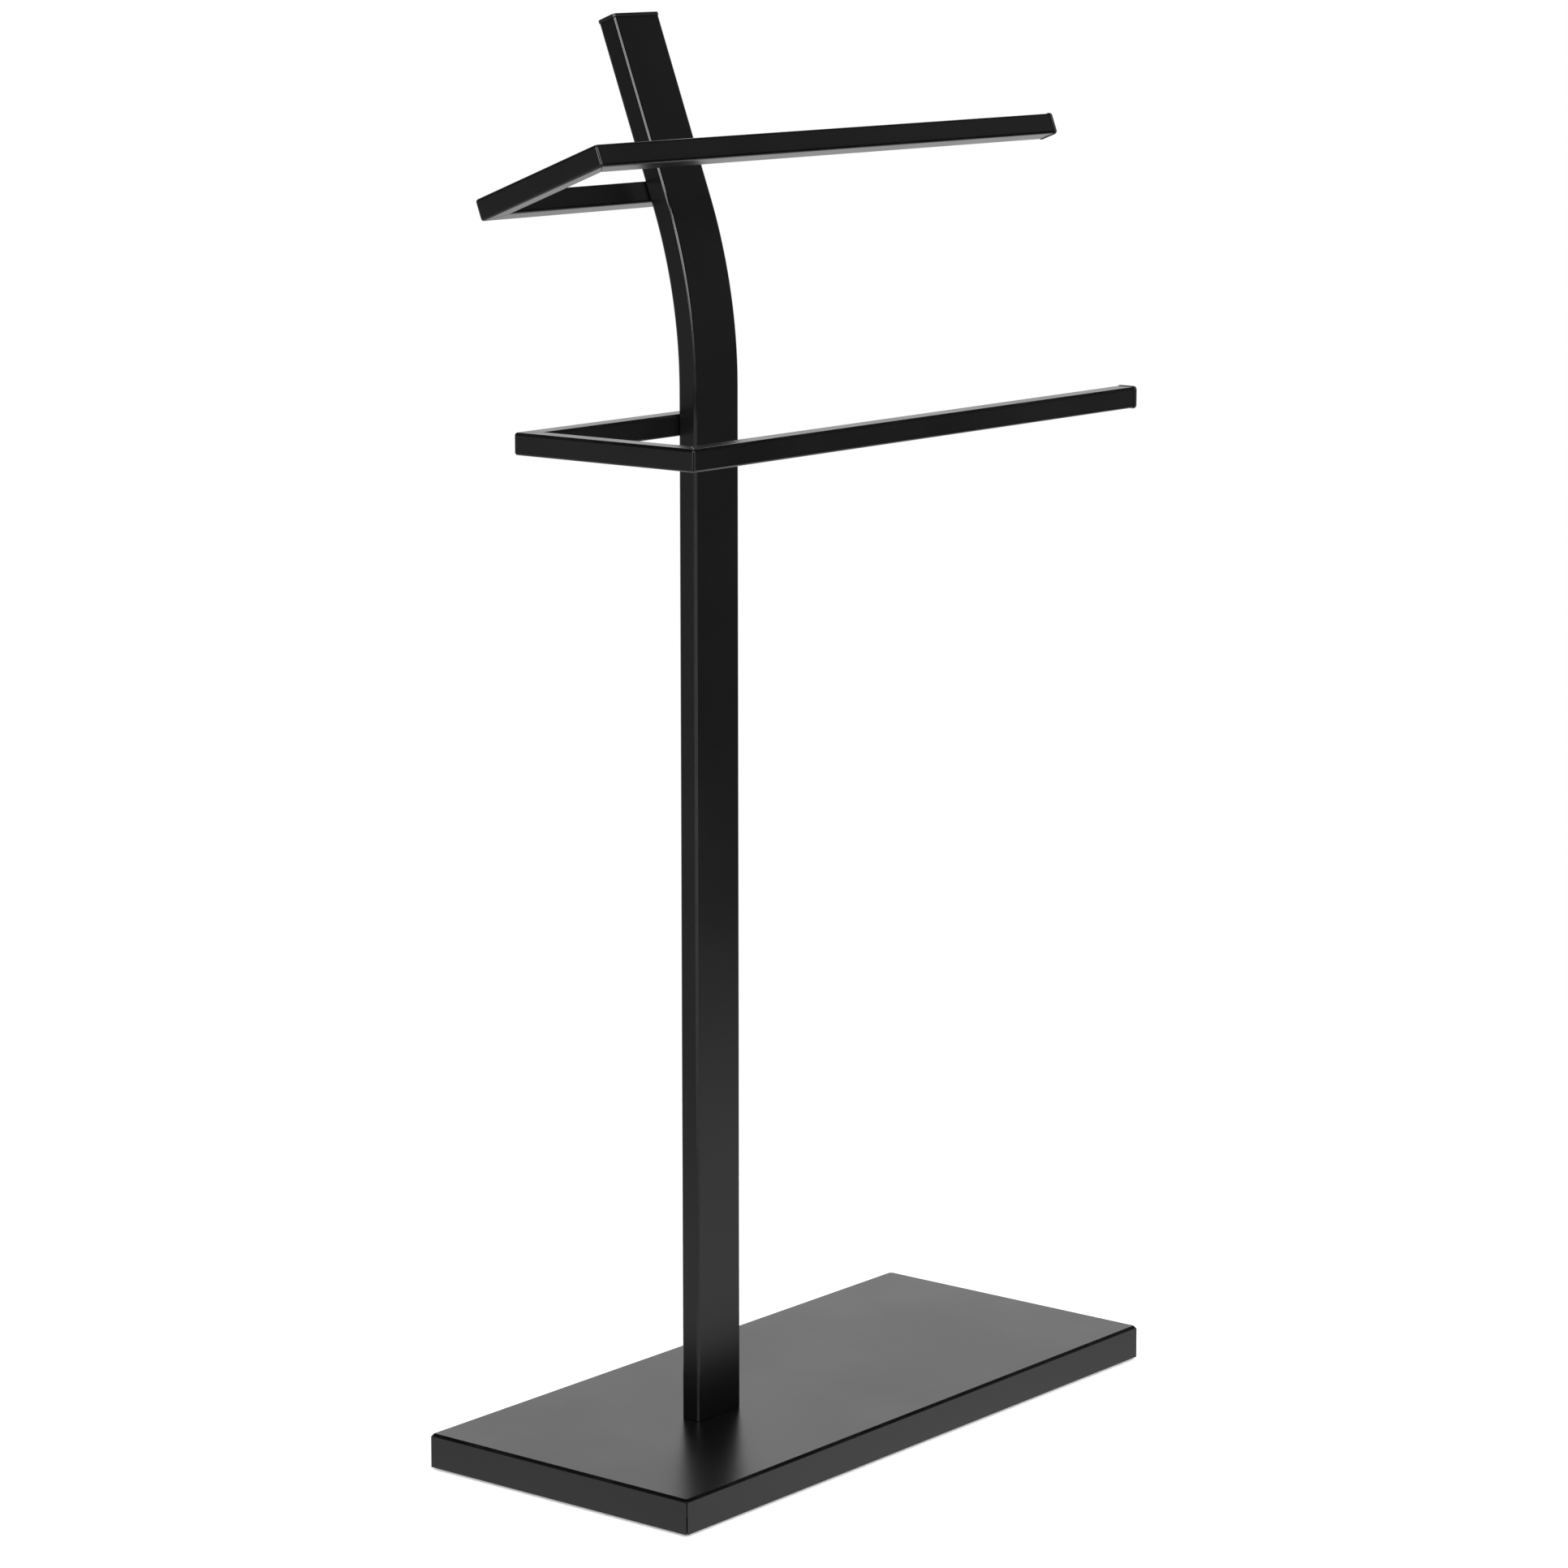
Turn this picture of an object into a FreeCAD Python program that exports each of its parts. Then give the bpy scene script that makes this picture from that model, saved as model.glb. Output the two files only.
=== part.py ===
import FreeCAD, Part
import math
import os

# Freestanding towel stand: a weighted rectangular base, one flat upright tube that leans back
# above a long bend, and two arms of square tube, one under the bend and one above it.
# Each arm runs along the back of the upright, turns forward at the left and returns to the
# right as the long front rail that carries the towels.
# Millimetres. X along the base, Y towards the back, Z up. The origin is the middle of the
# base on the floor.

# ---- The whole stand and its base --------------------------------------------------------
overall_height = 861.0          # floor to the highest edge of the top cap
base_length = 450.0
base_depth = 200.0
cover_height = 21.0             # folded cover, from the skirt's lower edge to the top face
cover_sheet = 1.2
cover_bend_radius = 2.0         # outside radius of the folded edges
corner_seam = 0.4               # open joint between two neighbouring skirts
skirt_floor_gap = 2.0

pad_height = 4.0                # rubber pads under the base
pad_radius = 12.0
pad_inset = 45.0                # pad centre from the base's edges

panel_sheet = 1.0               # shallow pan that closes the cover from below
panel_lip = 8.0                 # its upturned lips, welded inside the skirts
bolt_window_margin = 5.0        # opening in the pan round the bolt heads

ballast_side_clearance = 1.0
ballast_top_clearance = 0.4
ballast_bevel = 2.0

plate_length = 84.0             # stiffening plate under the cover, below the upright
plate_depth = 48.0
plate_thickness = 4.0
window_clearance = 3.0          # ballast window round the plate

# ---- Upright -----------------------------------------------------------------------------
post_x = -87.5                  # centre line from the base's middle
post_y = -4.3
post_width = 40.0
post_depth = 13.0
post_corner_radius = 1.8
post_wall = 1.2
post_bend_radius = 304.0        # at the centre line
post_bend_angle = 20.9          # degrees of lean
post_upper_straight = 111.0     # from the end of the bend to the top cap
foot_block_height = 20.0
foot_block_gap = 0.1            # weld gap between the block and the tube

# ---- Arms --------------------------------------------------------------------------------
rail_width = 13.0
rail_height = 13.0
rail_corner_radius = 1.8
rail_wall = 1.2
lower_arm_drop = 20.0           # centre of the rails below the start of the bend
lower_arm_left = 149.0          # post centre line to the arm's left face
lower_arm_right = 274.0         # post centre line to the free end
lower_arm_front = 113.0         # post centre line to the front rail's front face
upper_arm_rise = 9.2            # centre of the rails above the end of the bend
upper_arm_left = 153.0
upper_arm_right = 274.0
upper_arm_front = 77.5
rear_rail_inset = 0.5           # rear rail's capped end, inside the post's right edge

# ---- Plastic plugs -----------------------------------------------------------------------
plug_flange = 2.3
plug_flange_overhang = 0.4      # past the tube's outside, where nothing is beside it
plug_bevel = 0.7                # round the flange's outer face
plug_reach = 13.0               # body, down into the tube
short_plug_reach = 4.5          # the same where a screw passes close to the tube's end
plug_body_gap = 0.9             # body to the tube's inside
plug_wall = 1.4
plug_rib_pitch = 3.4
plug_rib_thickness = 1.0
plug_rib_gap = 0.05             # rib edge to the tube's inside

# ---- Fasteners ---------------------------------------------------------------------------
thread_clearance = 0.05         # screw to its thread
hole_clearance = 0.3            # screw to a plain hole
socket_depth_share = 0.5        # key socket, of the head's height

post_bolt_radius = 3.0
post_bolt_pitch = 22.0          # between the two bolts under the post
post_bolt_engagement = 15.0
post_bolt_head_radius = 5.0
post_bolt_head_height = 6.0
post_bolt_socket = 5.0          # across flats

arm_screw_radius = 2.5
arm_screw_pitch = 16.0          # between the two screws of one arm
arm_screw_head_radius = 4.75
arm_screw_head_height = 2.75
arm_screw_socket = 3.0
arm_screw_tail = 1.0            # thread that shows past the nut
weld_nut_width = 8.0
weld_nut_height = 4.0

# ---- Levels and places that follow -------------------------------------------------------
UP = FreeCAD.Vector(0, 0, 1)
ORIGIN = FreeCAD.Vector(0, 0, 0)
X_AXIS = FreeCAD.Vector(1, 0, 0)
Y_AXIS = FreeCAD.Vector(0, 1, 0)

smallest_radius = 0.3
cover_top = skirt_floor_gap + cover_height
cover_inner_top = cover_top - cover_sheet
panel_top = pad_height + panel_sheet
plate_bottom = cover_inner_top - plate_thickness

bend_angle = math.radians(post_bend_angle)
cap_rim = post_depth / 2 + plug_flange_overhang - plug_bevel
leaning_length = post_upper_straight + plug_flange
leaning_height = leaning_length * math.cos(bend_angle) + cap_rim * math.sin(bend_angle)
bend_end_z = overall_height - leaning_height
bend_end_y = post_y + post_bend_radius * (1 - math.cos(bend_angle))
bend_start = bend_end_z - post_bend_radius * math.sin(bend_angle)
post_straight = bend_start - cover_top


def vector(x, y, z=0.0):
    """A point or a direction."""
    return FreeCAD.Vector(x, y, z)


def inner_radius(outside, wall):
    """Corner radius on the inside of a wall, never below the smallest that can be formed."""
    return max(outside - wall, smallest_radius)


# ---- Shapes used by several pieces -------------------------------------------------------
def rounded_face(width, depth, radius):
    """Flat rectangle centred on the origin, its four corners rounded with quarter arcs."""
    edges = []
    corners = [(1, 1), (-1, 1), (-1, -1), (1, -1)]
    rings = []
    for turn, (side_x, side_y) in enumerate(corners):
        centre = vector(side_x * (width / 2 - radius), side_y * (depth / 2 - radius))
        angles = [math.radians(90 * turn + step) for step in (0, 45, 90)]
        rings.append([centre + vector(math.cos(a), math.sin(a)) * radius for a in angles])
    for index, ring in enumerate(rings):
        following = rings[(index + 1) % len(rings)]
        edges.append(Part.Arc(*ring).toShape())
        edges.append(Part.LineSegment(ring[2], following[0]).toShape())
    return Part.Face(Part.Wire(edges))


def rounded_bar(width, depth, radius, height):
    """Upright bar of rounded rectangular section, standing on the origin."""
    return rounded_face(width, depth, radius).extrude(UP * height)


def tube_face(width, depth, radius, wall):
    """Section of a rectangular tube, rounded at its outer corners and square inside."""
    inside = Part.makePlane(width - 2 * wall, depth - 2 * wall, vector(wall - width / 2, wall - depth / 2))
    return rounded_face(width, depth, radius).cut(inside).Faces[0]


def disc(radius, height, at):
    """Upright cylinder whose lower face is centred on a point."""
    return Part.makeCylinder(radius, height, at, UP)


def hexagon_bar(across_flats, height, at):
    """Upright hexagonal bar, such as the void of a key socket."""
    reach = across_flats / 2 / math.cos(math.radians(30))
    corners = [math.radians(60 * turn) for turn in range(7)]
    outline = [at + vector(math.cos(a), math.sin(a)) * reach for a in corners]
    return Part.Face(Part.makePolygon(outline)).extrude(UP * height)


def socket_screw(radius, length, head_radius, head_height, flats):
    """Screw along Z with its shank below the origin and its head above it.

    One turned profile makes the shank and the head, and a hexagonal key socket is sunk into
    the head.
    """
    profile = [
        vector(0, 0, -length),
        vector(radius, 0, -length),
        vector(radius, 0, 0),
        vector(head_radius, 0, 0),
        vector(head_radius, 0, head_height),
        vector(0, 0, head_height),
    ]
    body = Part.Face(Part.makePolygon(profile + profile[:1])).revolve(ORIGIN, UP, 360)
    socket_floor = head_height * (1 - socket_depth_share)
    return body.cut(hexagon_bar(flats, head_height, UP * socket_floor))


def centred_block(width, depth, height, bottom):
    """Square-edged block centred on the Z axis, standing on a level."""
    return Part.makeBox(width, depth, height, vector(-width / 2, -depth / 2, bottom))


def ribbed_plug(width, depth, radius, wall, reach, overhang):
    """Plastic plug for the open end of a rectangular tube that ends at the origin.

    The flange lies on the tube's end above the origin and stands past the tube by the
    overhang. The hollow body reaches down into the tube, with as many ribs as fit at their
    pitch. The ribs come almost to the tube's inside and leave its corners free.
    """
    flange = rounded_bar(width + 2 * overhang, depth + 2 * overhang, radius + overhang, plug_flange)
    top_edges = [edge for edge in flange.Edges if edge.BoundBox.ZMin > plug_flange / 2]
    plug = flange.makeChamfer(plug_bevel, top_edges)
    inside_width = width - 2 * wall
    inside_depth = depth - 2 * wall
    body_width = inside_width - 2 * plug_body_gap
    body_depth = inside_depth - 2 * plug_body_gap
    body = centred_block(body_width, body_depth, reach, -reach)
    hollow = centred_block(body_width - 2 * plug_wall, body_depth - 2 * plug_wall, reach, -reach)
    plug = plug.fuse(body.cut(hollow))
    rib_width = inside_width - 2 * plug_rib_gap
    rib_depth = inside_depth - 2 * plug_rib_gap
    for index in range(int(reach / plug_rib_pitch)):
        level = -plug_rib_pitch * (index + 1)
        long_rib = centred_block(body_width, rib_depth, plug_rib_thickness, level)
        cross_rib = centred_block(rib_width, body_depth, plug_rib_thickness, level)
        plug = plug.fuse(long_rib.fuse(cross_rib).cut(hollow))
    return plug.removeSplitter()


def folded_block(length, depth, height, radius, bottom):
    """Block whose four upper edges are rounded and mitred, as folded sheet leaves them."""
    def arch(width):
        """Upright face in the XZ plane: a rectangle with its two upper corners rounded."""
        half = width / 2
        top = bottom + height
        lean = radius * (1 - math.cos(math.radians(45)))
        left = [
            vector(-half, 0, top - radius),
            vector(lean - half, 0, top - lean),
            vector(radius - half, 0, top),
        ]
        right = [vector(-point.x, 0, point.z) for point in reversed(left)]
        edges = [
            Part.LineSegment(vector(half, 0, bottom), vector(-half, 0, bottom)).toShape(),
            Part.LineSegment(vector(-half, 0, bottom), left[0]).toShape(),
            Part.Arc(*left).toShape(),
            Part.LineSegment(left[2], right[0]).toShape(),
            Part.Arc(*right).toShape(),
            Part.LineSegment(right[2], vector(half, 0, bottom)).toShape(),
        ]
        return Part.Face(Part.Wire(edges))

    along = arch(length).translated(vector(0, -depth / 2)).extrude(Y_AXIS * depth)
    across = arch(depth).translated(vector(0, -length / 2)).extrude(Y_AXIS * length)
    return along.common(across.rotated(ORIGIN, UP, 90))


# ---- Places of the fasteners and pads ----------------------------------------------------
def corner_points(inset):
    """The four points that lie inside the base's corners, named for where they are."""
    reach_x = base_length / 2 - inset
    reach_y = base_depth / 2 - inset
    return {
        "front_left": vector(-reach_x, -reach_y),
        "front_right": vector(reach_x, -reach_y),
        "rear_left": vector(-reach_x, reach_y),
        "rear_right": vector(reach_x, reach_y),
    }


def post_bolt_points():
    """The two bolt axes under the post, side by side across its width."""
    return [vector(post_x + side * post_bolt_pitch / 2, post_y) for side in (-1, 1)]


# ---- Base --------------------------------------------------------------------------------
def make_base_cover():
    """Tray of folded sheet, open below, with open seams at the corners and two bolt holes."""
    outside = folded_block(base_length, base_depth, cover_height, cover_bend_radius, skirt_floor_gap)
    bend = inner_radius(cover_bend_radius, cover_sheet)
    inside_length = base_length - 2 * cover_sheet
    inside_depth = base_depth - 2 * cover_sheet
    inside = folded_block(inside_length, inside_depth, cover_height - cover_sheet, bend, skirt_floor_gap)
    cover = outside.cut(inside)
    seam_reach = 2 * cover_bend_radius + cover_sheet
    seam_height = cover_height - cover_bend_radius
    for corner in corner_points(0).values():
        slot = Part.makeBox(2 * seam_reach, corner_seam, seam_height)
        slot.translate(vector(-seam_reach, -corner_seam / 2, skirt_floor_gap))
        diagonal = 45 if corner.x * corner.y > 0 else -45
        cover = cover.cut(slot.rotated(ORIGIN, UP, diagonal).translated(corner))
    for point in post_bolt_points():
        hole = disc(post_bolt_radius + hole_clearance, cover_height, point + UP * skirt_floor_gap)
        cover = cover.cut(hole)
    return cover


def make_ballast():
    """Cast slab that lies in the pan, with a window round the plate and the bolt heads."""
    margin = 2 * (cover_sheet + panel_sheet + ballast_side_clearance)
    height = cover_inner_top - ballast_top_clearance - panel_top
    slab = centred_block(base_length - margin, base_depth - margin, height, panel_top)
    top_edges = [edge for edge in slab.Edges if edge.BoundBox.ZMin > panel_top]
    upper_edges = [edge for edge in top_edges if edge.BoundBox.ZLength < height / 2]
    slab = slab.makeChamfer(ballast_bevel, upper_edges)
    clear = 2 * window_clearance
    window = centred_block(plate_length + clear, plate_depth + clear, height, panel_top)
    return slab.cut(window.translated(vector(post_x, post_y)))


def make_underside_panel():
    """Shallow pan: a flat sheet with upturned lips, and one opening for both bolt heads."""
    inside_length = base_length - 2 * cover_sheet
    inside_depth = base_depth - 2 * cover_sheet
    pan = centred_block(inside_length, inside_depth, panel_lip, pad_height)
    hollow_length = inside_length - 2 * panel_sheet
    hollow_depth = inside_depth - 2 * panel_sheet
    pan = pan.cut(centred_block(hollow_length, hollow_depth, panel_lip, panel_top))
    reach = post_bolt_head_radius + bolt_window_margin
    opening = centred_block(post_bolt_pitch + 2 * reach, 2 * reach, panel_sheet, pad_height)
    return pan.cut(opening.translated(vector(post_x, post_y)))


def make_mounting_plate():
    """Steel plate welded under the cover, which spreads the pull of the post's bolts."""
    plate = centred_block(plate_length, plate_depth, plate_thickness, plate_bottom)
    plate.translate(vector(post_x, post_y))
    for point in post_bolt_points():
        hole = disc(post_bolt_radius + hole_clearance, plate_thickness, point + UP * plate_bottom)
        plate = plate.cut(hole)
    return plate


def make_pad(centre):
    """Round rubber pad under the pan."""
    return disc(pad_radius, pad_height, centre)


# ---- Upright -----------------------------------------------------------------------------
def lean_back(shape):
    """Carry a shape from the origin to the end of the bend, tilted with the upper post."""
    tilted = shape.rotated(ORIGIN, X_AXIS, -post_bend_angle)
    return tilted.translated(vector(post_x, bend_end_y, bend_end_z))


def arm_screw_holes(radius, start, end):
    """Two voids along Y in an arm's own frame, between two distances from the post's centre."""
    voids = []
    for side in (-1, 1):
        start_point = vector(side * arm_screw_pitch / 2, start)
        voids.append(Part.makeCylinder(radius, end - start, start_point, Y_AXIS))
    return voids


def make_post():
    """Bent rectangular tube, with holes in its back wall for the screws of both arms.

    The tube is one section pushed up to the bend, turned about the bend's centre behind
    the post, and pushed on along the leaning top.
    """
    section = tube_face(post_width, post_depth, post_corner_radius, post_wall)
    lower = section.translated(vector(post_x, post_y, cover_top)).extrude(UP * post_straight)
    bend_section = section.translated(vector(post_x, post_y, bend_start))
    bend_centre = vector(0, post_y + post_bend_radius, bend_start)
    bend = bend_section.revolve(bend_centre, X_AXIS * -1, post_bend_angle)
    upper = lean_back(section.extrude(UP * post_upper_straight))
    post = lower.fuse([bend, upper]).removeSplitter()
    for void in arm_screw_holes(arm_screw_radius + hole_clearance, 0, post_depth):
        post = post.cut(lower_arm_place(void))
        post = post.cut(upper_arm_place(void))
    return post


def make_post_top_cap():
    """Plastic plug in the post's open top."""
    overhang = plug_flange_overhang
    plug = ribbed_plug(post_width, post_depth, post_corner_radius, post_wall, plug_reach, overhang)
    return lean_back(plug.translated(UP * post_upper_straight))


def make_foot_block():
    """Steel block welded into the post's foot, with the two threads for the bolts."""
    margin = 2 * (post_wall + foot_block_gap)
    block = centred_block(post_width - margin, post_depth - margin, foot_block_height, cover_top)
    block.translate(vector(post_x, post_y))
    for point in post_bolt_points():
        thread = disc(post_bolt_radius + thread_clearance, foot_block_height, point + UP * cover_top)
        block = block.cut(thread)
    return block


def make_post_bolts():
    """Two socket screws from under the base, up through plate and cover into the foot block."""
    bolt = socket_screw(
        post_bolt_radius,
        plate_thickness + cover_sheet + post_bolt_engagement,
        post_bolt_head_radius,
        post_bolt_head_height,
        post_bolt_socket,
    ).rotated(ORIGIN, X_AXIS, 180)
    return Part.makeCompound([bolt.translated(point + UP * plate_bottom) for point in post_bolt_points()])


# ---- Arms --------------------------------------------------------------------------------
# An arm is made in its own frame: the origin on the post's centre line at the height of the
# rails, X to the right, Y to the back and Z along the post.
rail_line_rear = (post_depth + rail_width) / 2
rear_rail_back = post_depth / 2 + rail_width


def lower_arm_place(shape):
    """Carry a shape of the lower arm from its own frame to the straight part of the post."""
    return shape.translated(vector(post_x, post_y, bend_start - lower_arm_drop))


def upper_arm_place(shape):
    """Carry a shape of the upper arm from its own frame to the leaning top of the post."""
    return lean_back(shape.translated(UP * upper_arm_rise))


def tube_along_x(start, end, line_y):
    """Square rail along X between two places, its centre line at the given Y."""
    section = tube_face(rail_height, rail_width, rail_corner_radius, rail_wall)
    tube = section.extrude(UP * (end - start)).rotated(ORIGIN, Y_AXIS, 90)
    return tube.translated(vector(start, line_y))


def tube_along_y(start, end, line_x):
    """Square rail along Y between two places, its centre line at the given X."""
    section = tube_face(rail_width, rail_height, rail_corner_radius, rail_wall)
    tube = section.extrude(UP * (end - start)).rotated(ORIGIN, X_AXIS, -90)
    return tube.translated(vector(line_x, start))


def mitred(tube, outline):
    """The part of a rail inside an outline seen from above, whose slanted sides are mitres."""
    points = [vector(x, y, -rail_height) for x, y in outline]
    prism = Part.Face(Part.makePolygon(points + points[:1])).extrude(UP * (2 * rail_height))
    return tube.common(prism)


def make_arm(left, right, front):
    """The pieces of one arm in its own frame.

    The rear and front rails run along X and the side rail joins their left ends with two
    mitred corners. The front rail's right end and the rear rail's end behind the post are
    open tube closed by plugs.
    """
    front_end = right - plug_flange
    rear_end = post_width / 2 - rear_rail_inset - plug_flange
    inner_left = rail_width - left
    inner_front = rail_width - front
    inner_rear = rear_rail_back - rail_width

    rear_tube = tube_along_x(-left, rear_end, rail_line_rear)
    rear_outline = [
        (-left, rear_rail_back),
        (inner_left, inner_rear),
        (rear_end, inner_rear),
        (rear_end, rear_rail_back),
    ]
    rear_rail = mitred(rear_tube, rear_outline)
    for void in arm_screw_holes(arm_screw_radius + hole_clearance, inner_rear, rear_rail_back):
        rear_rail = rear_rail.cut(void)

    side_tube = tube_along_y(-front, rear_rail_back, rail_width / 2 - left)
    side_outline = [
        (-left, -front),
        (inner_left, inner_front),
        (inner_left, inner_rear),
        (-left, rear_rail_back),
    ]
    front_tube = tube_along_x(-left, front_end, rail_width / 2 - front)
    front_outline = [
        (-left, -front),
        (front_end, -front),
        (front_end, inner_front),
        (inner_left, inner_front),
    ]

    rail_size = (rail_height, rail_width, rail_corner_radius, rail_wall)
    front_plug = ribbed_plug(*rail_size, plug_reach, plug_flange_overhang).rotated(ORIGIN, Y_AXIS, 90)
    rear_plug = ribbed_plug(*rail_size, short_plug_reach, 0).rotated(ORIGIN, Y_AXIS, 90)

    screw_length = rail_width + post_wall + weld_nut_height + arm_screw_tail
    screw = socket_screw(
        arm_screw_radius,
        screw_length,
        arm_screw_head_radius,
        arm_screw_head_height,
        arm_screw_socket,
    ).rotated(ORIGIN, X_AXIS, -90)

    nut_back = post_depth / 2 - post_wall
    nut_bores = arm_screw_holes(arm_screw_radius + thread_clearance, nut_back - weld_nut_height, nut_back)
    screws = []
    nuts = []
    for side, bore in zip((-1, 1), nut_bores):
        hole_x = side * arm_screw_pitch / 2
        screws.append(screw.translated(vector(hole_x, rear_rail_back)))
        nut = Part.makeBox(weld_nut_width, weld_nut_height, weld_nut_width)
        corner = vector(hole_x - weld_nut_width / 2, nut_back - weld_nut_height, -weld_nut_width / 2)
        nuts.append(nut.translated(corner).cut(bore))

    return {
        "rear_rail": rear_rail,
        "side_rail": mitred(side_tube, side_outline),
        "front_rail": mitred(front_tube, front_outline),
        "front_rail_cap": front_plug.translated(vector(front_end, rail_width / 2 - front)),
        "rear_rail_cap": rear_plug.translated(vector(rear_end, rail_line_rear)),
        "arm_screws": Part.makeCompound(screws),
        "arm_weld_nuts": Part.makeCompound(nuts),
    }


# ---- The whole stand ---------------------------------------------------------------------
def make_stand():
    """Every piece in the stand's frame, under the name of its node."""
    pieces = {
        "base_cover": make_base_cover(),
        "base_ballast": make_ballast(),
        "base_underside_panel": make_underside_panel(),
        "base_mounting_plate": make_mounting_plate(),
        "post": make_post(),
        "post_top_cap": make_post_top_cap(),
        "post_foot_block": make_foot_block(),
        "post_bolts": make_post_bolts(),
        "foot_pad_centre": make_pad(ORIGIN),
    }
    for name, point in corner_points(pad_inset).items():
        pieces["foot_pad_" + name] = make_pad(point)
    for name, shape in make_arm(lower_arm_left, lower_arm_right, lower_arm_front).items():
        pieces["lower_" + name] = lower_arm_place(shape)
    for name, shape in make_arm(upper_arm_left, upper_arm_right, upper_arm_front).items():
        pieces["upper_" + name] = upper_arm_place(shape)
    return pieces


os.makedirs("parts", exist_ok=True)
for node, piece in make_stand().items():
    piece.exportStep(os.path.join("parts", node + ".step"))
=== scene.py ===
"""Looks of a freestanding towel stand in black powder coat.

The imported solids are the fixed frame. Every piece that can be seen is worked out again as a
smooth surface in the same place: the folded base tray, the bent upright, the two arms of
square tube with their mitred corners, the plastic plugs, the screws and the rubber pads.
The pieces inside keep their solids and get their finishes.

Sizes are millimetres, X along the base, Y towards the back, Z up, with the origin on the
floor under the base's middle. Meshes are made in metres.
"""

import logging
import math
from dataclasses import dataclass, field
from enum import Enum
from typing import Iterable, Sequence

import bmesh
import bpy
import numpy as np
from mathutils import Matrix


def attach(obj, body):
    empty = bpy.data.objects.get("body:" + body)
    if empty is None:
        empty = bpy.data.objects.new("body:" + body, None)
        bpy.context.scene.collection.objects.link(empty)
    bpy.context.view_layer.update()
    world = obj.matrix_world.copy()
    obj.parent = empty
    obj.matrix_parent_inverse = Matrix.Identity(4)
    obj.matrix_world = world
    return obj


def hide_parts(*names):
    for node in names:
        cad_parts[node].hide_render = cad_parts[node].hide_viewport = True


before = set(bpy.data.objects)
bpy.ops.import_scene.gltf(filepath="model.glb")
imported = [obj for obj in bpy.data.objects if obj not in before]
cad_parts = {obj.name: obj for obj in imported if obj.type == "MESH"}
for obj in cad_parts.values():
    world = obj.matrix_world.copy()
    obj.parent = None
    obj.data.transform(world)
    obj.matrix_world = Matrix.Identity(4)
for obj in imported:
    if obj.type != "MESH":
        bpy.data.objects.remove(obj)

log = logging.getLogger("towel_stand")
logging.basicConfig(level=logging.INFO, format="%(name)s: %(message)s")

Socket = bpy.types.NodeSocket
Pair = tuple[float, float]
Triple = tuple[float, float, float]

METRES = 0.001  # one millimetre
BODY = "root"  # nothing on the stand moves
PHOTO_SIDE = 1932  # pixels along each side of the picture
SENSOR_WIDTH = 36.0  # millimetres
CLIP_RANGE = (0.05, 60.0)  # metres
WELD_DISTANCE = 1e-7  # metres
SHARP_ANGLE = math.radians(34)
LEAST_RADIUS = 0.15  # of a section that is drawn in
QUARTER = math.pi / 2
SIXTH = math.pi / 3
WHITE = (1, 1, 1, 1)
MIX_COLOURS = (6, 7)  # places of a Mix node's two colours among its inputs
MIX_RESULT = 2  # and of their mixture among its outputs


class Slot(Enum):
    """The record's material slots."""

    COAT = "black_powder_coat"
    PLASTIC = "black_plastic"
    RUBBER = "black_rubber"
    CONCRETE = "cast_concrete"
    ZINC = "zinc_plated_steel"
    SCREWS = "black_screws"


class Pattern(Enum):
    """What a finish shows besides its fine grain."""

    PLAIN = "plain"
    SPECKS = "specks"
    PORES = "pores"
    SPANGLE = "spangle"


# ---- Surfaces ----------------------------------------------------------------------------
def quads_of(index: np.ndarray) -> np.ndarray:
    """Corners of the quads between neighbours in a grid of point numbers."""
    corners = [index[:-1, :-1], index[:-1, 1:], index[1:, 1:], index[1:, :-1]]
    return np.stack(corners, axis=-1).reshape(-1, 4)


def pairs(first: object, second: object) -> np.ndarray:
    """Pairs of two rows of numbers, of which one may be a single number."""
    return np.stack(np.broadcast_arrays(first, second), axis=-1)


def stacked(outlines: np.ndarray, heights: Sequence[float]) -> np.ndarray:
    """Lift flat outlines of shape (rows, n, 2) to the heights of their rows."""
    level = np.broadcast_to(np.reshape(heights, (-1, 1, 1)), outlines.shape[:2] + (1,))
    return np.concatenate([outlines, level], axis=-1)


def turns(steps: int) -> np.ndarray:
    """Angles of equal steps once round, from 0."""
    return np.arange(steps) * 2 * math.pi / steps


def rings(radii: np.ndarray, heights: Sequence[float]) -> np.ndarray:
    """Rings about Z, (r cos t, r sin t), from radii of shape (rows, steps) and heights."""
    angle = turns(radii.shape[1])
    return stacked(pairs(radii * np.cos(angle), radii * np.sin(angle)), heights)


def lathe(profile: np.ndarray, steps: int) -> np.ndarray:
    """Turn a profile of radius and height pairs about the Z axis."""
    return rings(np.tile(profile[:, :1], steps), profile[:, 1])


def arc_profile(
    centre: Sequence[float], radius: float, start: float, end: float, steps: int = 6
) -> np.ndarray:
    """Points on an arc, centre + r (cos t, sin t), from one angle in degrees to another."""
    angle = np.radians(np.linspace(start, end, steps + 1))
    return np.array(centre) + radius * pairs(np.cos(angle), np.sin(angle))


@dataclass(frozen=True)
class Place:
    """A shift, after a lean backwards about the X axis."""

    shift: Triple = (0.0, 0.0, 0.0)
    lean: float = 0.0  # degrees

    def carry(self, points: np.ndarray) -> np.ndarray:
        """Carry points into this place.

        The lean turns Y and Z: y' = y cos a + z sin a, z' = z cos a - y sin a.

        Args:
            points: Points whose last axis is X, Y, Z.

        Returns:
            The carried points, in the same shape.
        """
        angle = math.radians(self.lean)
        x, y, z = np.moveaxis(points, -1, 0)
        leaned_y = y * math.cos(angle) + z * math.sin(angle)
        leaned_z = z * math.cos(angle) - y * math.sin(angle)
        return np.stack([x, leaned_y, leaned_z], axis=-1) + np.array(self.shift)


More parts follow.
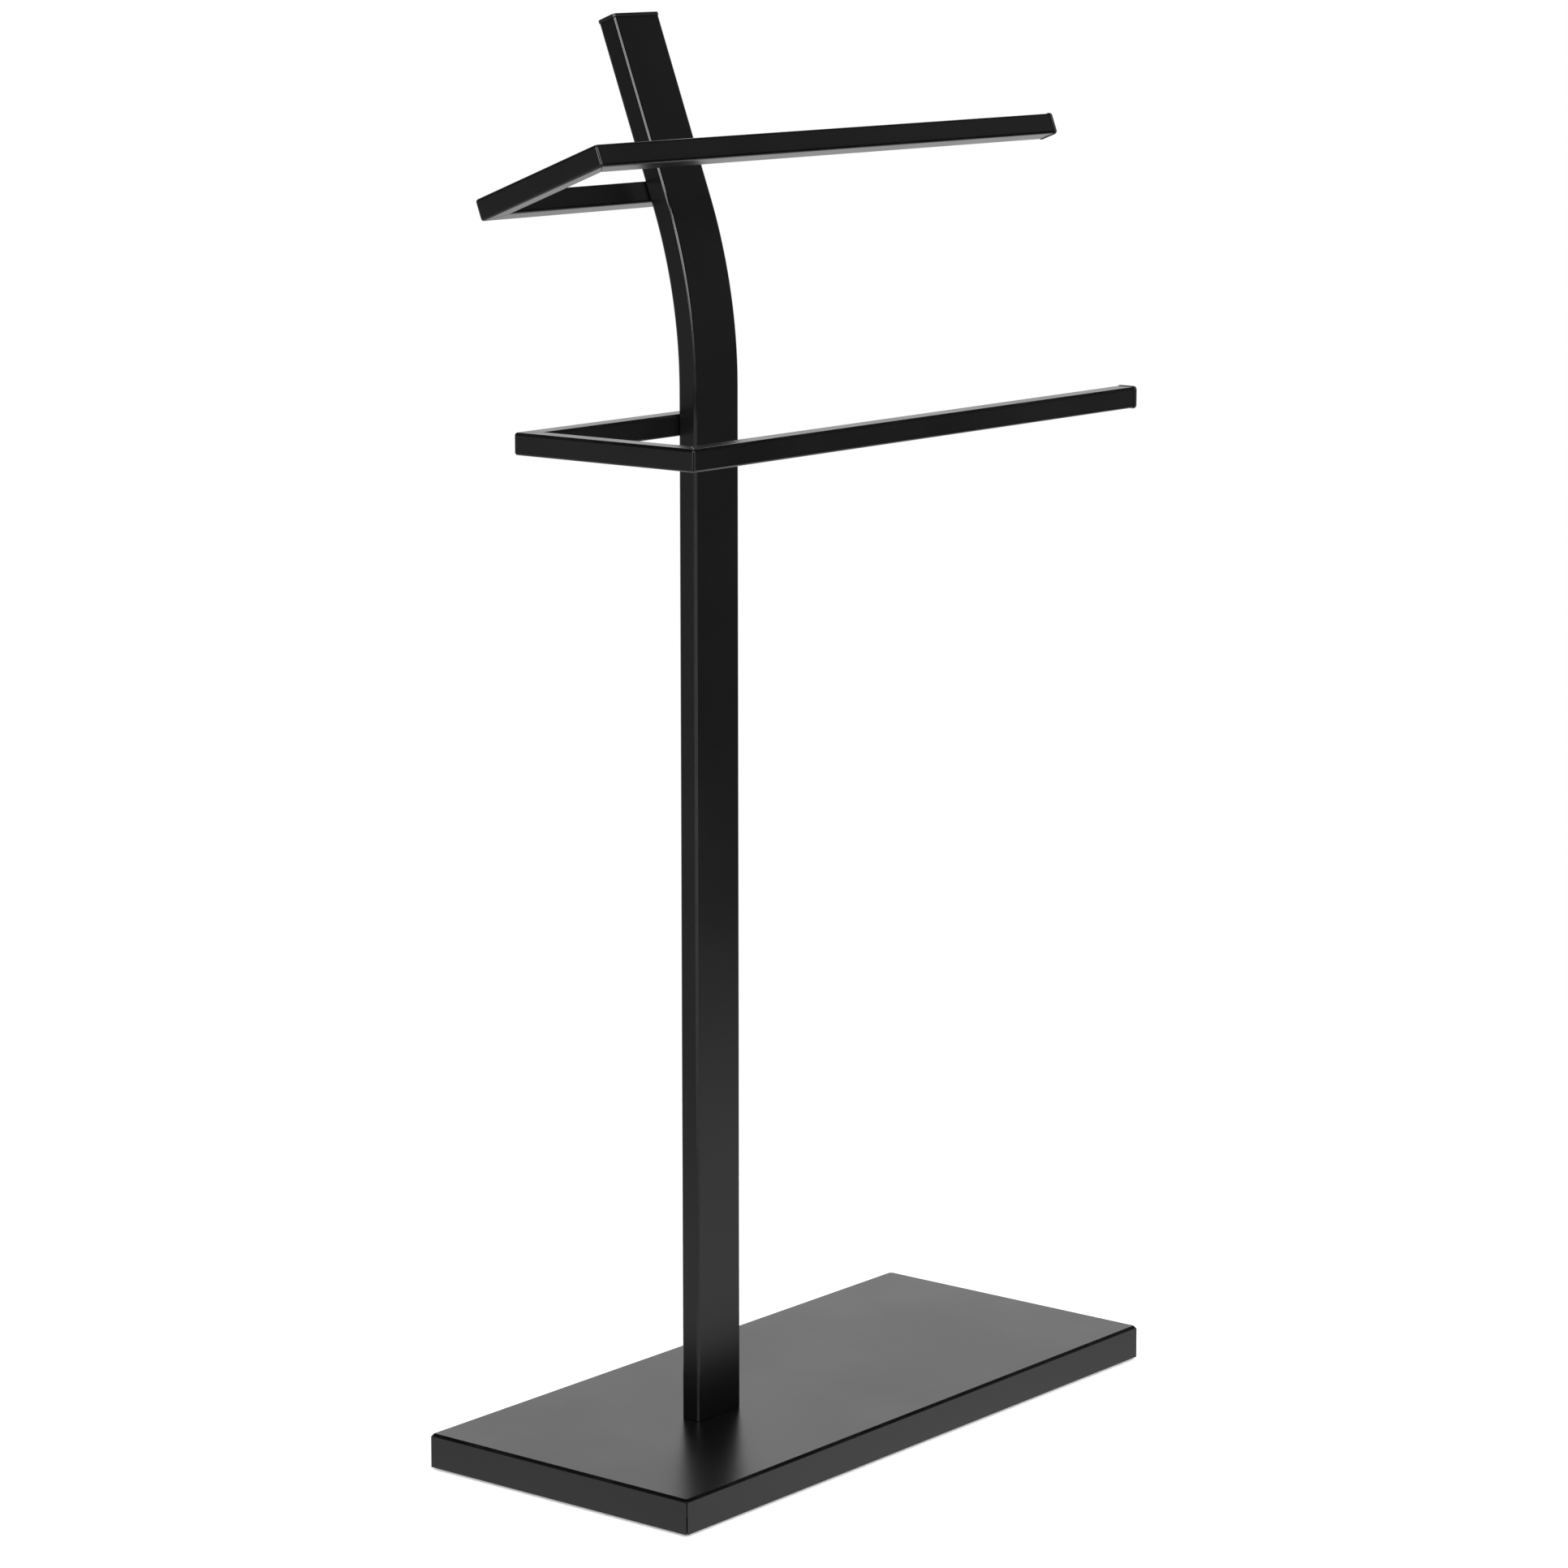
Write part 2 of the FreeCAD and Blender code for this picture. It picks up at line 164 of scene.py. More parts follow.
@dataclass
class Surface:
    """Grids of points in millimetres, gathered and welded into one closed mesh.

    Each point carries an edge value from 0 on a flat to 1 on the middle of a rounded edge,
    which the finishes read for a painted highlight there and for where a coat is thin and wears.
    """

    points: list[np.ndarray] = field(default_factory=list)
    quads: list[np.ndarray] = field(default_factory=list)
    edges: list[np.ndarray] = field(default_factory=list)
    count: int = 0

    def add_grid(
        self,
        grid: np.ndarray,
        edge: np.ndarray | float = 0.0,
        closed_columns: bool = True,
        closed_rows: bool = False,
    ) -> None:
        """Add a sheet of quads over a grid of points.

        Args:
            grid: Points of shape (rows, columns, 3).
            edge: Edge values that fit the shape (rows, columns).
            closed_columns: Whether the last column joins the first.
            closed_rows: Whether the last row joins the first.
        """
        rows, columns = grid.shape[:2]
        index = np.arange(rows * columns).reshape(rows, columns) + self.count
        if closed_rows:
            index = np.vstack([index, index[:1]])
        if closed_columns:
            index = np.hstack([index, index[:, :1]])
        self.quads.append(quads_of(index))
        self.points.append(grid.reshape(-1, 3))
        self.edges.append(np.broadcast_to(edge, (rows, columns)).reshape(-1))
        self.count += rows * columns

    def join(self, other: "Surface") -> None:
        """Take in another surface.

        Args:
            other: The surface to take in.
        """
        self.quads += [quads + self.count for quads in other.quads]
        self.points += other.points
        self.edges += other.edges
        self.count += other.count

    def turned(
        self, axes: Sequence[int], signs: Sequence[int], shift: Sequence[float]
    ) -> "Surface":
        """The surface with its axes picked anew, then signed and shifted."""
        moved = [grid[..., axes] * np.array(signs) + np.array(shift) for grid in self.points]
        return Surface(moved, self.quads, self.edges, self.count)

    def mesh(self, name: str, place: Place) -> bpy.types.Mesh:
        """Weld the grids in their place and turn every face outwards.

        Args:
            name: Name of the new mesh.
            place: Where the surface stands.

        Returns:
            The mesh in metres, smooth except along its sharp edges.
        """
        mesh = bpy.data.meshes.new(name)
        points = place.carry(np.concatenate(self.points)) * METRES
        mesh.from_pydata(points.tolist(), [], np.concatenate(self.quads).tolist())
        layer = mesh.attributes.new("edge", "FLOAT", "POINT")
        layer.data.foreach_set("value", np.concatenate(self.edges).astype(np.float32))
        work = bmesh.new()
        work.from_mesh(mesh)
        bmesh.ops.remove_doubles(work, verts=work.verts, dist=WELD_DISTANCE)
        bmesh.ops.dissolve_degenerate(work, edges=work.edges, dist=WELD_DISTANCE)
        bmesh.ops.recalc_face_normals(work, faces=work.faces)
        work.to_mesh(mesh)
        work.free()
        mesh.shade_smooth()
        mesh.set_sharp_from_angle(angle=SHARP_ANGLE)
        return mesh


@dataclass(frozen=True)
class Section:
    """A rectangle with rounded corners, as a closed outline."""

    width: float
    depth: float
    radius: float
    steps: int = 8  # facets in each corner

    def outline(self, inset: float = 0.0) -> np.ndarray:
        """The outline, moved inwards by an inset that keeps the corners round.

        Each corner is a quarter arc: centre + r (cos t, sin t), turned by 0, 90, 180 and 270
        degrees.

        Args:
            inset: How far the outline is moved inwards.

        Returns:
            Points of shape (4 (steps + 1), 2).
        """
        radius = max(self.radius - inset, LEAST_RADIUS)
        half = np.array([self.width / 2 - inset - radius, self.depth / 2 - inset - radius])
        angle = np.arange(4)[:, None] * QUARTER + np.linspace(0, QUARTER, self.steps + 1)
        arcs = radius * pairs(np.cos(angle), np.sin(angle))
        centres = np.array([[1, 1], [-1, 1], [-1, -1], [1, -1]]) * half
        return (arcs + centres[:, None]).reshape(-1, 2)

    def edge(self) -> np.ndarray:
        """Edge values round the outline: sin 2t along each corner's arc."""
        return np.tile(np.sin(np.linspace(0, math.pi, self.steps + 1)), 4)


@dataclass
class Path:
    """Where a tube's sections stand: one row for each section."""

    centres: np.ndarray  # (rows, 3)
    across: np.ndarray  # (rows, 3) direction of the section's width
    through: np.ndarray  # (rows, 3) direction of the section's depth
    slant: np.ndarray  # (rows,) how far a mitre runs on along the tube per width
    inset: np.ndarray  # (rows,) how far the skin is drawn in

    def sweep(self, outlines: np.ndarray) -> np.ndarray:
        """Carry section outlines along the path.

        A point is centre + a across + b through + slant a tangent, where (a, b) is the
        outline's point and the tangent is across x through.

        Args:
            outlines: Points of shape (rows, n, 2).

        Returns:
            Points of shape (rows, n, 3).
        """
        tangent = np.cross(self.across, self.through)
        a, b = outlines[..., 0:1], outlines[..., 1:2]
        flat = self.centres[:, None] + a * self.across[:, None] + b * self.through[:, None]
        return flat + self.slant[:, None, None] * a * tangent[:, None]


@dataclass(frozen=True)
class Tube:
    """Rectangular steel tube with rounded corners."""

    width: float
    depth: float
    radius: float
    wall: float
    bore_radius: float = 0.4

    def surface(self, path: Path) -> Surface:
        """Sweep the tube's skin and its inside along a path, joined at both ends.

        Args:
            path: Where the sections stand.

        Returns:
            The closed surface.
        """
        outer = Section(self.width, self.depth, self.radius)
        walls = 2 * self.wall
        bore = Section(self.width - walls, self.depth - walls, self.bore_radius)
        skin = np.stack([outer.outline(inset) for inset in path.inset])
        inside = np.broadcast_to(bore.outline(), skin.shape)
        rows = len(skin)
        edge = np.zeros((2 * rows, skin.shape[1]))
        edge[:rows] = outer.edge()
        surface = Surface()
        grid = np.concatenate([path.sweep(skin), path.sweep(inside)[::-1]])
        surface.add_grid(grid, edge, closed_rows=True)
        return surface


# ---- Finishes ----------------------------------------------------------------------------
class Tree:
    """Lays nodes into one node tree."""

    def __init__(self, tree: bpy.types.NodeTree) -> None:
        """Start with an empty tree."""
        self.tree = tree
        self.tree.nodes.clear()

    def feed(self, target: Socket, value: object) -> None:
        """Connect an output to an input, or set the input to a plain value.

        Args:
            target: The input.
            value: A socket, a number, a colour or a vector.
        """
        if isinstance(value, Socket):
            self.tree.links.new(value, target)
        else:
            target.default_value = value

    def add(self, kind: str, *inputs: object, **values: object) -> bpy.types.Node:
        """Add a node.

        Args:
            kind: The node's type name after "ShaderNode".
            *inputs: Sockets or plain values for its inputs, in their order.
            **values: Settings of the node, or values of its inputs where no setting has
                that name. An underscore stands for a space in an input's name.

        Returns:
            The new node.
        """
        node = self.tree.nodes.new("ShaderNode" + kind)
        for name, value in values.items():
            if hasattr(node, name):
                setattr(node, name, value)
            else:
                self.feed(node.inputs[name.replace("_", " ")], value)
        for target, value in zip(node.inputs, inputs):
            self.feed(target, value)
        return node

    def maths(self, operation: str, *terms: object) -> Socket:
        """Work out one operation on sockets or numbers."""
        return self.add("Math", *terms, operation=operation).outputs[0]

    def ramp(self, value: Socket, low: float, high: float) -> Socket:
        """Smooth step of a value, from 0 at the low place to 1 at the high one."""
        node = self.add("MapRange", value, low, high, interpolation_type="SMOOTHSTEP")
        return node.outputs["Result"]

    def cloud(self, place: Socket, scale: object, detail: float, roughness: float) -> Socket:
        """Noise at a number of waves per metre, from about 0 to 1."""
        names = {"Vector": place, "Scale": scale, "Detail": detail, "Roughness": roughness}
        return self.add("TexNoise", **names).outputs[0]

    def cells(self, place: Socket, scale: object) -> tuple[Socket, Socket]:
        """Cells of a scale.

        Args:
            place: Coordinates to read.
            scale: Cells per metre.

        Returns:
            Distance from a cell's middle, and the cell's own random value.
        """
        node = self.add("TexVoronoi", Vector=place, Scale=scale)
        split = self.add("SeparateColor", node.outputs["Color"])
        return node.outputs["Distance"], split.outputs[0]

    def blend(self, factor: Socket, low: object, high: object) -> Socket:
        """Mix two colours.

        Args:
            factor: The share of the second colour.
            low: First colour, or a socket.
            high: Second colour, or a socket.

        Returns:
            The mixed colour.
        """
        node = self.add("Mix", factor, data_type="RGBA")
        for place, value in zip(MIX_COLOURS, (low, high)):
            self.feed(node.inputs[place], value if isinstance(value, Socket) else (*value, 1))
        return node.outputs[MIX_RESULT]

    def white(self, kind: str, strength: object) -> Socket:
        """A white Emission or Background shader."""
        return self.add(kind, Color=WHITE, Strength=strength).outputs[0]

    def mix(self, factor: Socket, first: Socket, second: Socket) -> Socket:
        """Mix two shaders, by the share of the second."""
        return self.add("MixShader", factor, first, second).outputs[0]


def new_group(
    name: str, inputs: dict[str, float], outputs: Iterable[str]
) -> tuple[Tree, dict[str, Socket], dict[str, Socket]]:
    """Start a shader node group that reads a vector and single values.

    Args:
        name: The group's name.
        inputs: Default value of each input after "Vector".
        outputs: Names of the outputs, all single values.

    Returns:
        The group's tree, the sockets that its inputs give and the sockets of its outputs.
    """
    group = bpy.data.node_groups.new(name, "ShaderNodeTree")
    sides = group.interface
    sides.new_socket("Vector", in_out="INPUT", socket_type="NodeSocketVector")
    for label, value in inputs.items():
        socket = sides.new_socket(label, in_out="INPUT", socket_type="NodeSocketFloat")
        socket.default_value = value
    for label in outputs:
        sides.new_socket(label, in_out="OUTPUT", socket_type="NodeSocketFloat")
    tree = Tree(group)
    entry = group.nodes.new("NodeGroupInput")
    leave = group.nodes.new("NodeGroupOutput")
    return tree, dict(entry.outputs.items()), dict(leave.inputs.items())


def make_grain_group() -> bpy.types.NodeTree:
    """Make the group that gives a coat its relief and its mottled tone.

    The height is the soft waves of the coat plus a share of fine grain. The mottle is a
    broad cloud, for changes of tone and gloss over a hand's width.

    Returns:
        The node group.
    """
    roughness, mottle_range = 0.55, (0.3, 0.7)
    details = {"Wave Scale": 1.0, "Grain Scale": 2.0, "Mottle Scale": 3.0}
    inputs = {"Wave Scale": 400.0, "Grain Scale": 2200.0, "Grain Share": 0.3, "Mottle Scale": 14.0}
    tree, given, out = new_group("coat_grain", inputs, ["Height", "Grain", "Mottle"])
    wave, grain, cloud = (
        tree.cloud(given["Vector"], given[scale], detail, roughness)
        for scale, detail in details.items()
    )
    shared = tree.maths("MULTIPLY", grain, given["Grain Share"])
    tree.feed(out["Height"], tree.maths("ADD", wave, shared))
    tree.feed(out["Grain"], grain)
    tree.feed(out["Mottle"], tree.ramp(cloud, *mottle_range))
    return tree.tree


def make_wear_and_highlight_group() -> bpy.types.NodeTree:
    """Make the group for the lighter tone along rounded edges, part wearing and part painted
    highlight.

    The mask is the square of the edge value, broken up by a cloud, so that the lighter tone, a
    painted highlight as much as wearing, comes and goes along an edge and never reaches a flat.

    Returns:
        The node group.
    """
    detail, roughness, rub_and_highlight_range = 4.0, 0.65, (0.42, 0.68)
    inputs = {"Edge": 0.0, "Scale": 60.0, "Amount": 0.5}
    tree, given, out = new_group("edge_wear_and_highlight", inputs, ["Mask"])
    cloud = tree.cloud(given["Vector"], given["Scale"], detail, roughness)
    sharp = tree.maths("POWER", given["Edge"], 2.0)
    rubbed_and_highlit = tree.maths("MULTIPLY", tree.ramp(cloud, *rub_and_highlight_range), sharp)
    tree.feed(out["Mask"], tree.maths("MULTIPLY", rubbed_and_highlit, given["Amount"]))
    return tree.tree


def make_speck_group() -> bpy.types.NodeTree:
    """Make the group of scattered round specks, for dust in a coat and pores in a casting.

    A speck is the middle of a cell whose own random value is above a limit.

    Returns:
        The node group.
    """
    soft_rim = 0.6  # share of the radius over which a speck fades
    inputs = {"Scale": 300.0, "Rarity": 0.85, "Radius": 0.2}
    tree, given, out = new_group("specks", inputs, ["Mask"])
    distance, random = tree.cells(given["Vector"], given["Scale"])
    chosen = tree.maths("GREATER_THAN", random, given["Rarity"])
    near = tree.maths("SUBTRACT", 1.0, tree.maths("DIVIDE", distance, given["Radius"]))
    tree.feed(out["Mask"], tree.maths("MULTIPLY", chosen, tree.ramp(near, 0.0, soft_rim)))
    return tree.tree


@dataclass(frozen=True)
class Groups:
    """The node groups that all finishes share."""

    grain: bpy.types.NodeTree
    wear_and_highlight: bpy.types.NodeTree
    specks: bpy.types.NodeTree


def grey(level: float) -> Triple:
    """An even grey."""
    return (level, level, level)


@dataclass(frozen=True)
class Finish:
    """One finish: its tones, its gloss, its relief and what marks it."""

    slot: Slot
    tone: Triple  # where the mottle is low
    tone_high: Triple  # where the mottle is high
    gloss: Pair  # roughness, from least to most
    wave_scale: float  # waves per metre
    grain_scale: float
    grain_share: float
    relief: float  # height of the waves, metres
    mottle_scale: float = 14.0
    # Tone, gloss and amount along rounded edges. Where the tone is lighter than the finish's own,
    # as on the coat and the plastic, it is a painted highlight as well as wearing.
    wear_and_highlight_tone: Triple = grey(0.03)
    worn_gloss: float = 0.3
    edge_polish: float = 0.0  # how much less rough the coat sets on a rounded edge
    wear_and_highlight: float = 0.5
    metallic: float = 0.0
    specular: float = 0.5
    sheen: float = 0.0
    pattern: Pattern = Pattern.PLAIN
    mark_scale: float = 300.0
    mark_rarity: float = 0.9
    mark_radius: float = 0.2
    mark_tone: Triple = grey(0.05)
    pore_depth: float = 2.0  # in heights of the waves

    def material(self, groups: Groups) -> bpy.types.Material:
        """Make the material.

        Args:
            groups: The shared node groups.

        Returns:
            The material, named for its slot.
        """
        material = bpy.data.materials.new(self.slot.value)
        material.use_nodes = True
        tree = Tree(material.node_tree)
        place = tree.add("TexCoord").outputs["Object"]
        edge = tree.add("Attribute", attribute_name="edge").outputs["Fac"]
        grain = tree.add(
            "Group",
            node_tree=groups.grain,
            Vector=place,
            Wave_Scale=self.wave_scale,
            Grain_Scale=self.grain_scale,
            Grain_Share=self.grain_share,
            Mottle_Scale=self.mottle_scale,
        ).outputs
        wear_and_highlight = tree.add("Group", node_tree=groups.wear_and_highlight, Vector=place, Edge=edge, Amount=self.wear_and_highlight)
        wear_and_highlight_mask = wear_and_highlight.outputs["Mask"]

        colour = tree.blend(grain["Mottle"], self.tone, self.tone_high)
        height = grain["Height"]
        if self.pattern is not Pattern.PLAIN:
            marks = self.marks(tree, groups, place)
            # The marks' tone: dust specks and spangle, and in pores painted shade.
            colour = tree.blend(marks, colour, self.mark_tone)
            if self.pattern is Pattern.PORES:
                sunk = tree.maths("MULTIPLY", marks, self.pore_depth)
                height = tree.maths("SUBTRACT", height, sunk)
        # Lighter tone along rounded edges: painted highlight on the coat and the plastic, wearing
        # elsewhere.
        colour = tree.blend(wear_and_highlight_mask, colour, self.wear_and_highlight_tone)

        mean = tree.maths("MULTIPLY", tree.maths("ADD", grain["Mottle"], grain["Grain"]), 0.5)
        spread = tree.add("MapRange", mean, 0.0, 1.0, *self.gloss).outputs["Result"]
        polish = tree.maths("MULTIPLY", wear_and_highlight_mask, self.worn_gloss - self.gloss[0])
        settled = tree.maths("MULTIPLY", tree.maths("POWER", edge, 0.5), -self.edge_polish)
        rough = tree.maths("ADD", spread, tree.maths("ADD", polish, settled))

        bump = tree.add("Bump", Strength=1.0, Distance=self.relief, Height=height)
        shader = tree.add(
            "BsdfPrincipled",
            Metallic=self.metallic,
            Specular_IOR_Level=self.specular,
            Sheen_Weight=self.sheen,
            Base_Color=colour,
            Roughness=rough,
            Normal=bump.outputs["Normal"],
        )
        tree.add("OutputMaterial", shader.outputs["BSDF"])
        return material

    def marks(self, tree: Tree, groups: Groups, place: Socket) -> Socket:
        """Add the marks of the finish's pattern.

        Spangle is the random tone of large crystals. Specks and pores are round dots.

        Args:
            tree: The material's tree.
            groups: The shared node groups.
            place: Coordinates for the pattern.

        Returns:
            The marks' mask.
        """
        if self.pattern is Pattern.SPANGLE:
            return tree.cells(place, self.mark_scale)[1]
        dots = tree.add(
            "Group",
            node_tree=groups.specks,
            Vector=place,
            Scale=self.mark_scale,
            Rarity=self.mark_rarity,
            Radius=self.mark_radius,
        )
        return dots.outputs["Mask"]


POWDER_COAT = Finish(
    slot=Slot.COAT,
    tone=(0.0017, 0.0017, 0.0018),
    tone_high=(0.0028, 0.0028, 0.0029),
    gloss=(0.29, 0.34),
    edge_polish=0.15,
    wave_scale=420.0,
    grain_scale=2600.0,
    grain_share=0.3,
    relief=2e-5,
    mottle_scale=11.0,
    # The lighter edge tone is a painted highlight along the rounded edges of the tubes and the
    # tray.
    wear_and_highlight_tone=grey(0.014),
    worn_gloss=0.26,
    wear_and_highlight=0.4,
    pattern=Pattern.SPECKS,
    mark_scale=260.0,
    mark_rarity=0.93,
    mark_radius=0.12,
    mark_tone=grey(0.022),
)
MOULDED_PLASTIC = Finish(
    slot=Slot.PLASTIC,
    tone=(0.005, 0.005, 0.0052),
    tone_high=(0.0075, 0.0075, 0.0078),
    gloss=(0.40, 0.52),
    edge_polish=0.27,
    wave_scale=900.0,
    grain_scale=3600.0,
    grain_share=0.8,
    relief=7e-6,
    mottle_scale=40.0,
    worn_gloss=0.36,
    # The default edge tone, lighter than this plastic, is a painted highlight on the plugs' rims.
    wear_and_highlight=0.4,
)
RUBBER = Finish(
    slot=Slot.RUBBER,
    tone=grey(0.012),
    tone_high=(0.024, 0.023, 0.022),
    gloss=(0.68, 0.86),
    wave_scale=700.0,
    grain_scale=3000.0,
    grain_share=0.9,
    relief=2.2e-5,
    mottle_scale=60.0,
    wear_and_highlight_tone=(0.05, 0.048, 0.045),
    worn_gloss=0.6,
    wear_and_highlight=0.7,
    sheen=0.08,
    pattern=Pattern.SPECKS,
    mark_scale=500.0,
    mark_rarity=0.8,
    mark_tone=(0.07, 0.068, 0.06),
)
CONCRETE = Finish(
    slot=Slot.CONCRETE,
    tone=(0.25, 0.24, 0.225),
    tone_high=(0.38, 0.37, 0.35),
    gloss=(0.75, 0.92),
    wave_scale=120.0,
    grain_scale=900.0,
    grain_share=0.7,
    relief=1.6e-4,
    mottle_scale=22.0,
    pattern=Pattern.PORES,
    mark_scale=170.0,
    mark_rarity=0.7,
    mark_radius=0.28,
    # The darker tone in the sunk pores is painted shade in their hollows.
    mark_tone=(0.12, 0.115, 0.11),
)
ZINC_PLATE = Finish(
    slot=Slot.ZINC,
    tone=(0.56, 0.57, 0.59),
    tone_high=(0.66, 0.67, 0.68),
    gloss=(0.28, 0.42),
    wave_scale=300.0,
    grain_scale=1800.0,
    grain_share=0.6,
    relief=6e-6,
    mottle_scale=35.0,
    wear_and_highlight_tone=grey(0.4),
    worn_gloss=0.4,
    metallic=1.0,
    pattern=Pattern.SPANGLE,
    mark_scale=140.0,
    mark_tone=(0.74, 0.74, 0.72),
)
BLACKENED_STEEL = Finish(
    slot=Slot.SCREWS,
    tone=(0.035, 0.035, 0.038),
    tone_high=(0.06, 0.059, 0.06),
    gloss=(0.32, 0.46),
    wave_scale=600.0,
    grain_scale=3200.0,
    grain_share=0.5,
    relief=5e-6,
    mottle_scale=90.0,
    wear_and_highlight_tone=(0.2, 0.19, 0.18),
    worn_gloss=0.28,
    wear_and_highlight=0.6,
    metallic=1.0,
)
FINISHES = (POWDER_COAT, MOULDED_PLASTIC, RUBBER, CONCRETE, ZINC_PLATE, BLACKENED_STEEL)


def put_in_scene(name: str, data: bpy.types.ID) -> bpy.types.Object:
    """Make an object of new data, at the origin of the scene.

    Args:
        name: The object's name.
        data: A mesh, lamp or camera.

    Returns:
        The object.
    """
    item = bpy.data.objects.new(name, data)
    bpy.context.scene.collection.objects.link(item)
    return item


class Workshop:
    """Makes the finishes once, and turns surfaces into pieces of the stand."""

    def __init__(self) -> None:
        """Make the node groups and the materials."""
        groups = Groups(make_grain_group(), make_wear_and_highlight_group(), make_speck_group())
        self.materials = {finish.slot: finish.material(groups) for finish in FINISHES}

    def piece(
        self,
        name: str,
        surface: Surface,
        slot: Slot,
        nodes: Sequence[str],
        place: Place = Place(),
    ) -> None:
        """Make one piece that stands for solids of the frame.

        Args:
            name: The piece's name.
            surface: Its surface, in millimetres.
            slot: Its material slot.
            nodes: The solids that it stands for.
            place: Where the surface stands.
        """
        mesh = surface.mesh(name, place)
        mesh.materials.append(self.materials[slot])
        item = put_in_scene(name, mesh)
        item.modifiers.new("flat_faces_stay_flat", "WEIGHTED_NORMAL").keep_sharp = True
        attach(item, BODY)
        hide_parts(*nodes)
        log.info("%s: %d faces", name, len(mesh.polygons))

    def dress(self, node: str, slot: Slot) -> None:
        """Give a solid of the frame its finish.

        Args:
            node: The solid's name.
            slot: Its material slot.
        """
        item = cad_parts[node]
        item.data.materials.clear()
        item.data.materials.append(self.materials[slot])
        log.info("%s: solid kept, %s", node, slot.value)


# ---- Parts that repeat -------------------------------------------------------------------
POST_TUBE = Tube(40.0, 13.0, 1.8, 1.2)
RAIL_TUBE = Tube(13.0, 13.0, 1.8, 1.2)


@dataclass(frozen=True)
class Plug:
    """Ribbed plastic plug with a rounded flange, for the open end of a tube."""

    tube: Tube
    reach: float  # of the body, down into the tube
    overhang: float  # of the flange, past the tube's skin
    flange: float = 2.3
    rim: float = 0.9  # rounding of the flange's outer face
    crown: float = 0.12  # the flange's middle stands this much higher than its rim
    body_gap: float = 0.9  # from the bore to the body
    rib_gap: float = 0.05  # from the bore to a rib
    rib_pitch: float = 3.4
    rib: float = 1.0
    chamfer: float = 0.15  # of the flange's underside and of the ribs
    taper: float = 0.4  # at the body's end
    rub_and_highlight_at: float = 0.3  # share of the rim's rounding
    corner_steps: int = 9
    rim_rows: int = 7
    crown_rows: int = 6

    def profile(self) -> np.ndarray:
        """The plug's levels as inset and height, from the rim down.

        A quarter arc over the rim, then steps in and out for the body and its ribs.

        Returns:
            Pairs of shape (rows, 2).
        """
        top = self.flange - self.crown
        turn = np.linspace(QUARTER, 0, self.rim_rows)
        rim = pairs(self.rim * (1 - np.cos(turn)), top - self.rim * (1 - np.sin(turn)))
        body = self.overhang + self.tube.wall + self.body_gap
        rib = self.overhang + self.tube.wall + self.rib_gap
        levels = [rim, [[0, self.chamfer], [self.chamfer, 0], [body, 0]]]
        for index in range(int(self.reach / self.rib_pitch)):
            low = -self.rib_pitch * (index + 1)
            high = low + self.rib
            levels.append([[body, high], [rib, high - self.chamfer], [rib, low], [body, low]])
        levels.append([[body, -self.reach + self.taper], [body + self.taper, -self.reach]])
        return np.vstack(levels)

    def surface(self) -> Surface:
        """Loft the plug from its crown down over the flange, the ribs and the body's end.

        Every level is the tube's own outline, moved inwards by the profile's inset. The
        crown's height falls off with the square of the distance from its middle.

        Returns:
            The closed surface, standing on a tube that ends at the origin and points up.
        """
        profile = self.profile()
        inset, height = profile.T
        out = self.overhang
        size = (self.tube.width + 2 * out, self.tube.depth + 2 * out, self.tube.radius + out)
        section = Section(*size, self.corner_steps)
        walls = stacked(np.stack([section.outline(step) for step in inset]), height)

        top = self.flange - self.crown
        share = np.linspace(0, 1, self.crown_rows)[:, None, None]
        crown = walls[0] * share
        crown[..., 2] = top + self.crown * (1 - share[..., 0] ** 2)
        end = np.stack([walls[-1] * (0, 0, 1), walls[-1]])
        # Band round the rim's rounding that takes the lighter edge tone: a painted highlight, and
        # wearing.
        rubbed_and_highlit = 1 - np.abs(height - top + self.rim * self.rub_and_highlight_at) / self.rim

        surface = Surface()
        surface.add_grid(crown)
        surface.add_grid(walls, np.clip(rubbed_and_highlit, 0, 1)[:, None])
        surface.add_grid(end)
        return surface


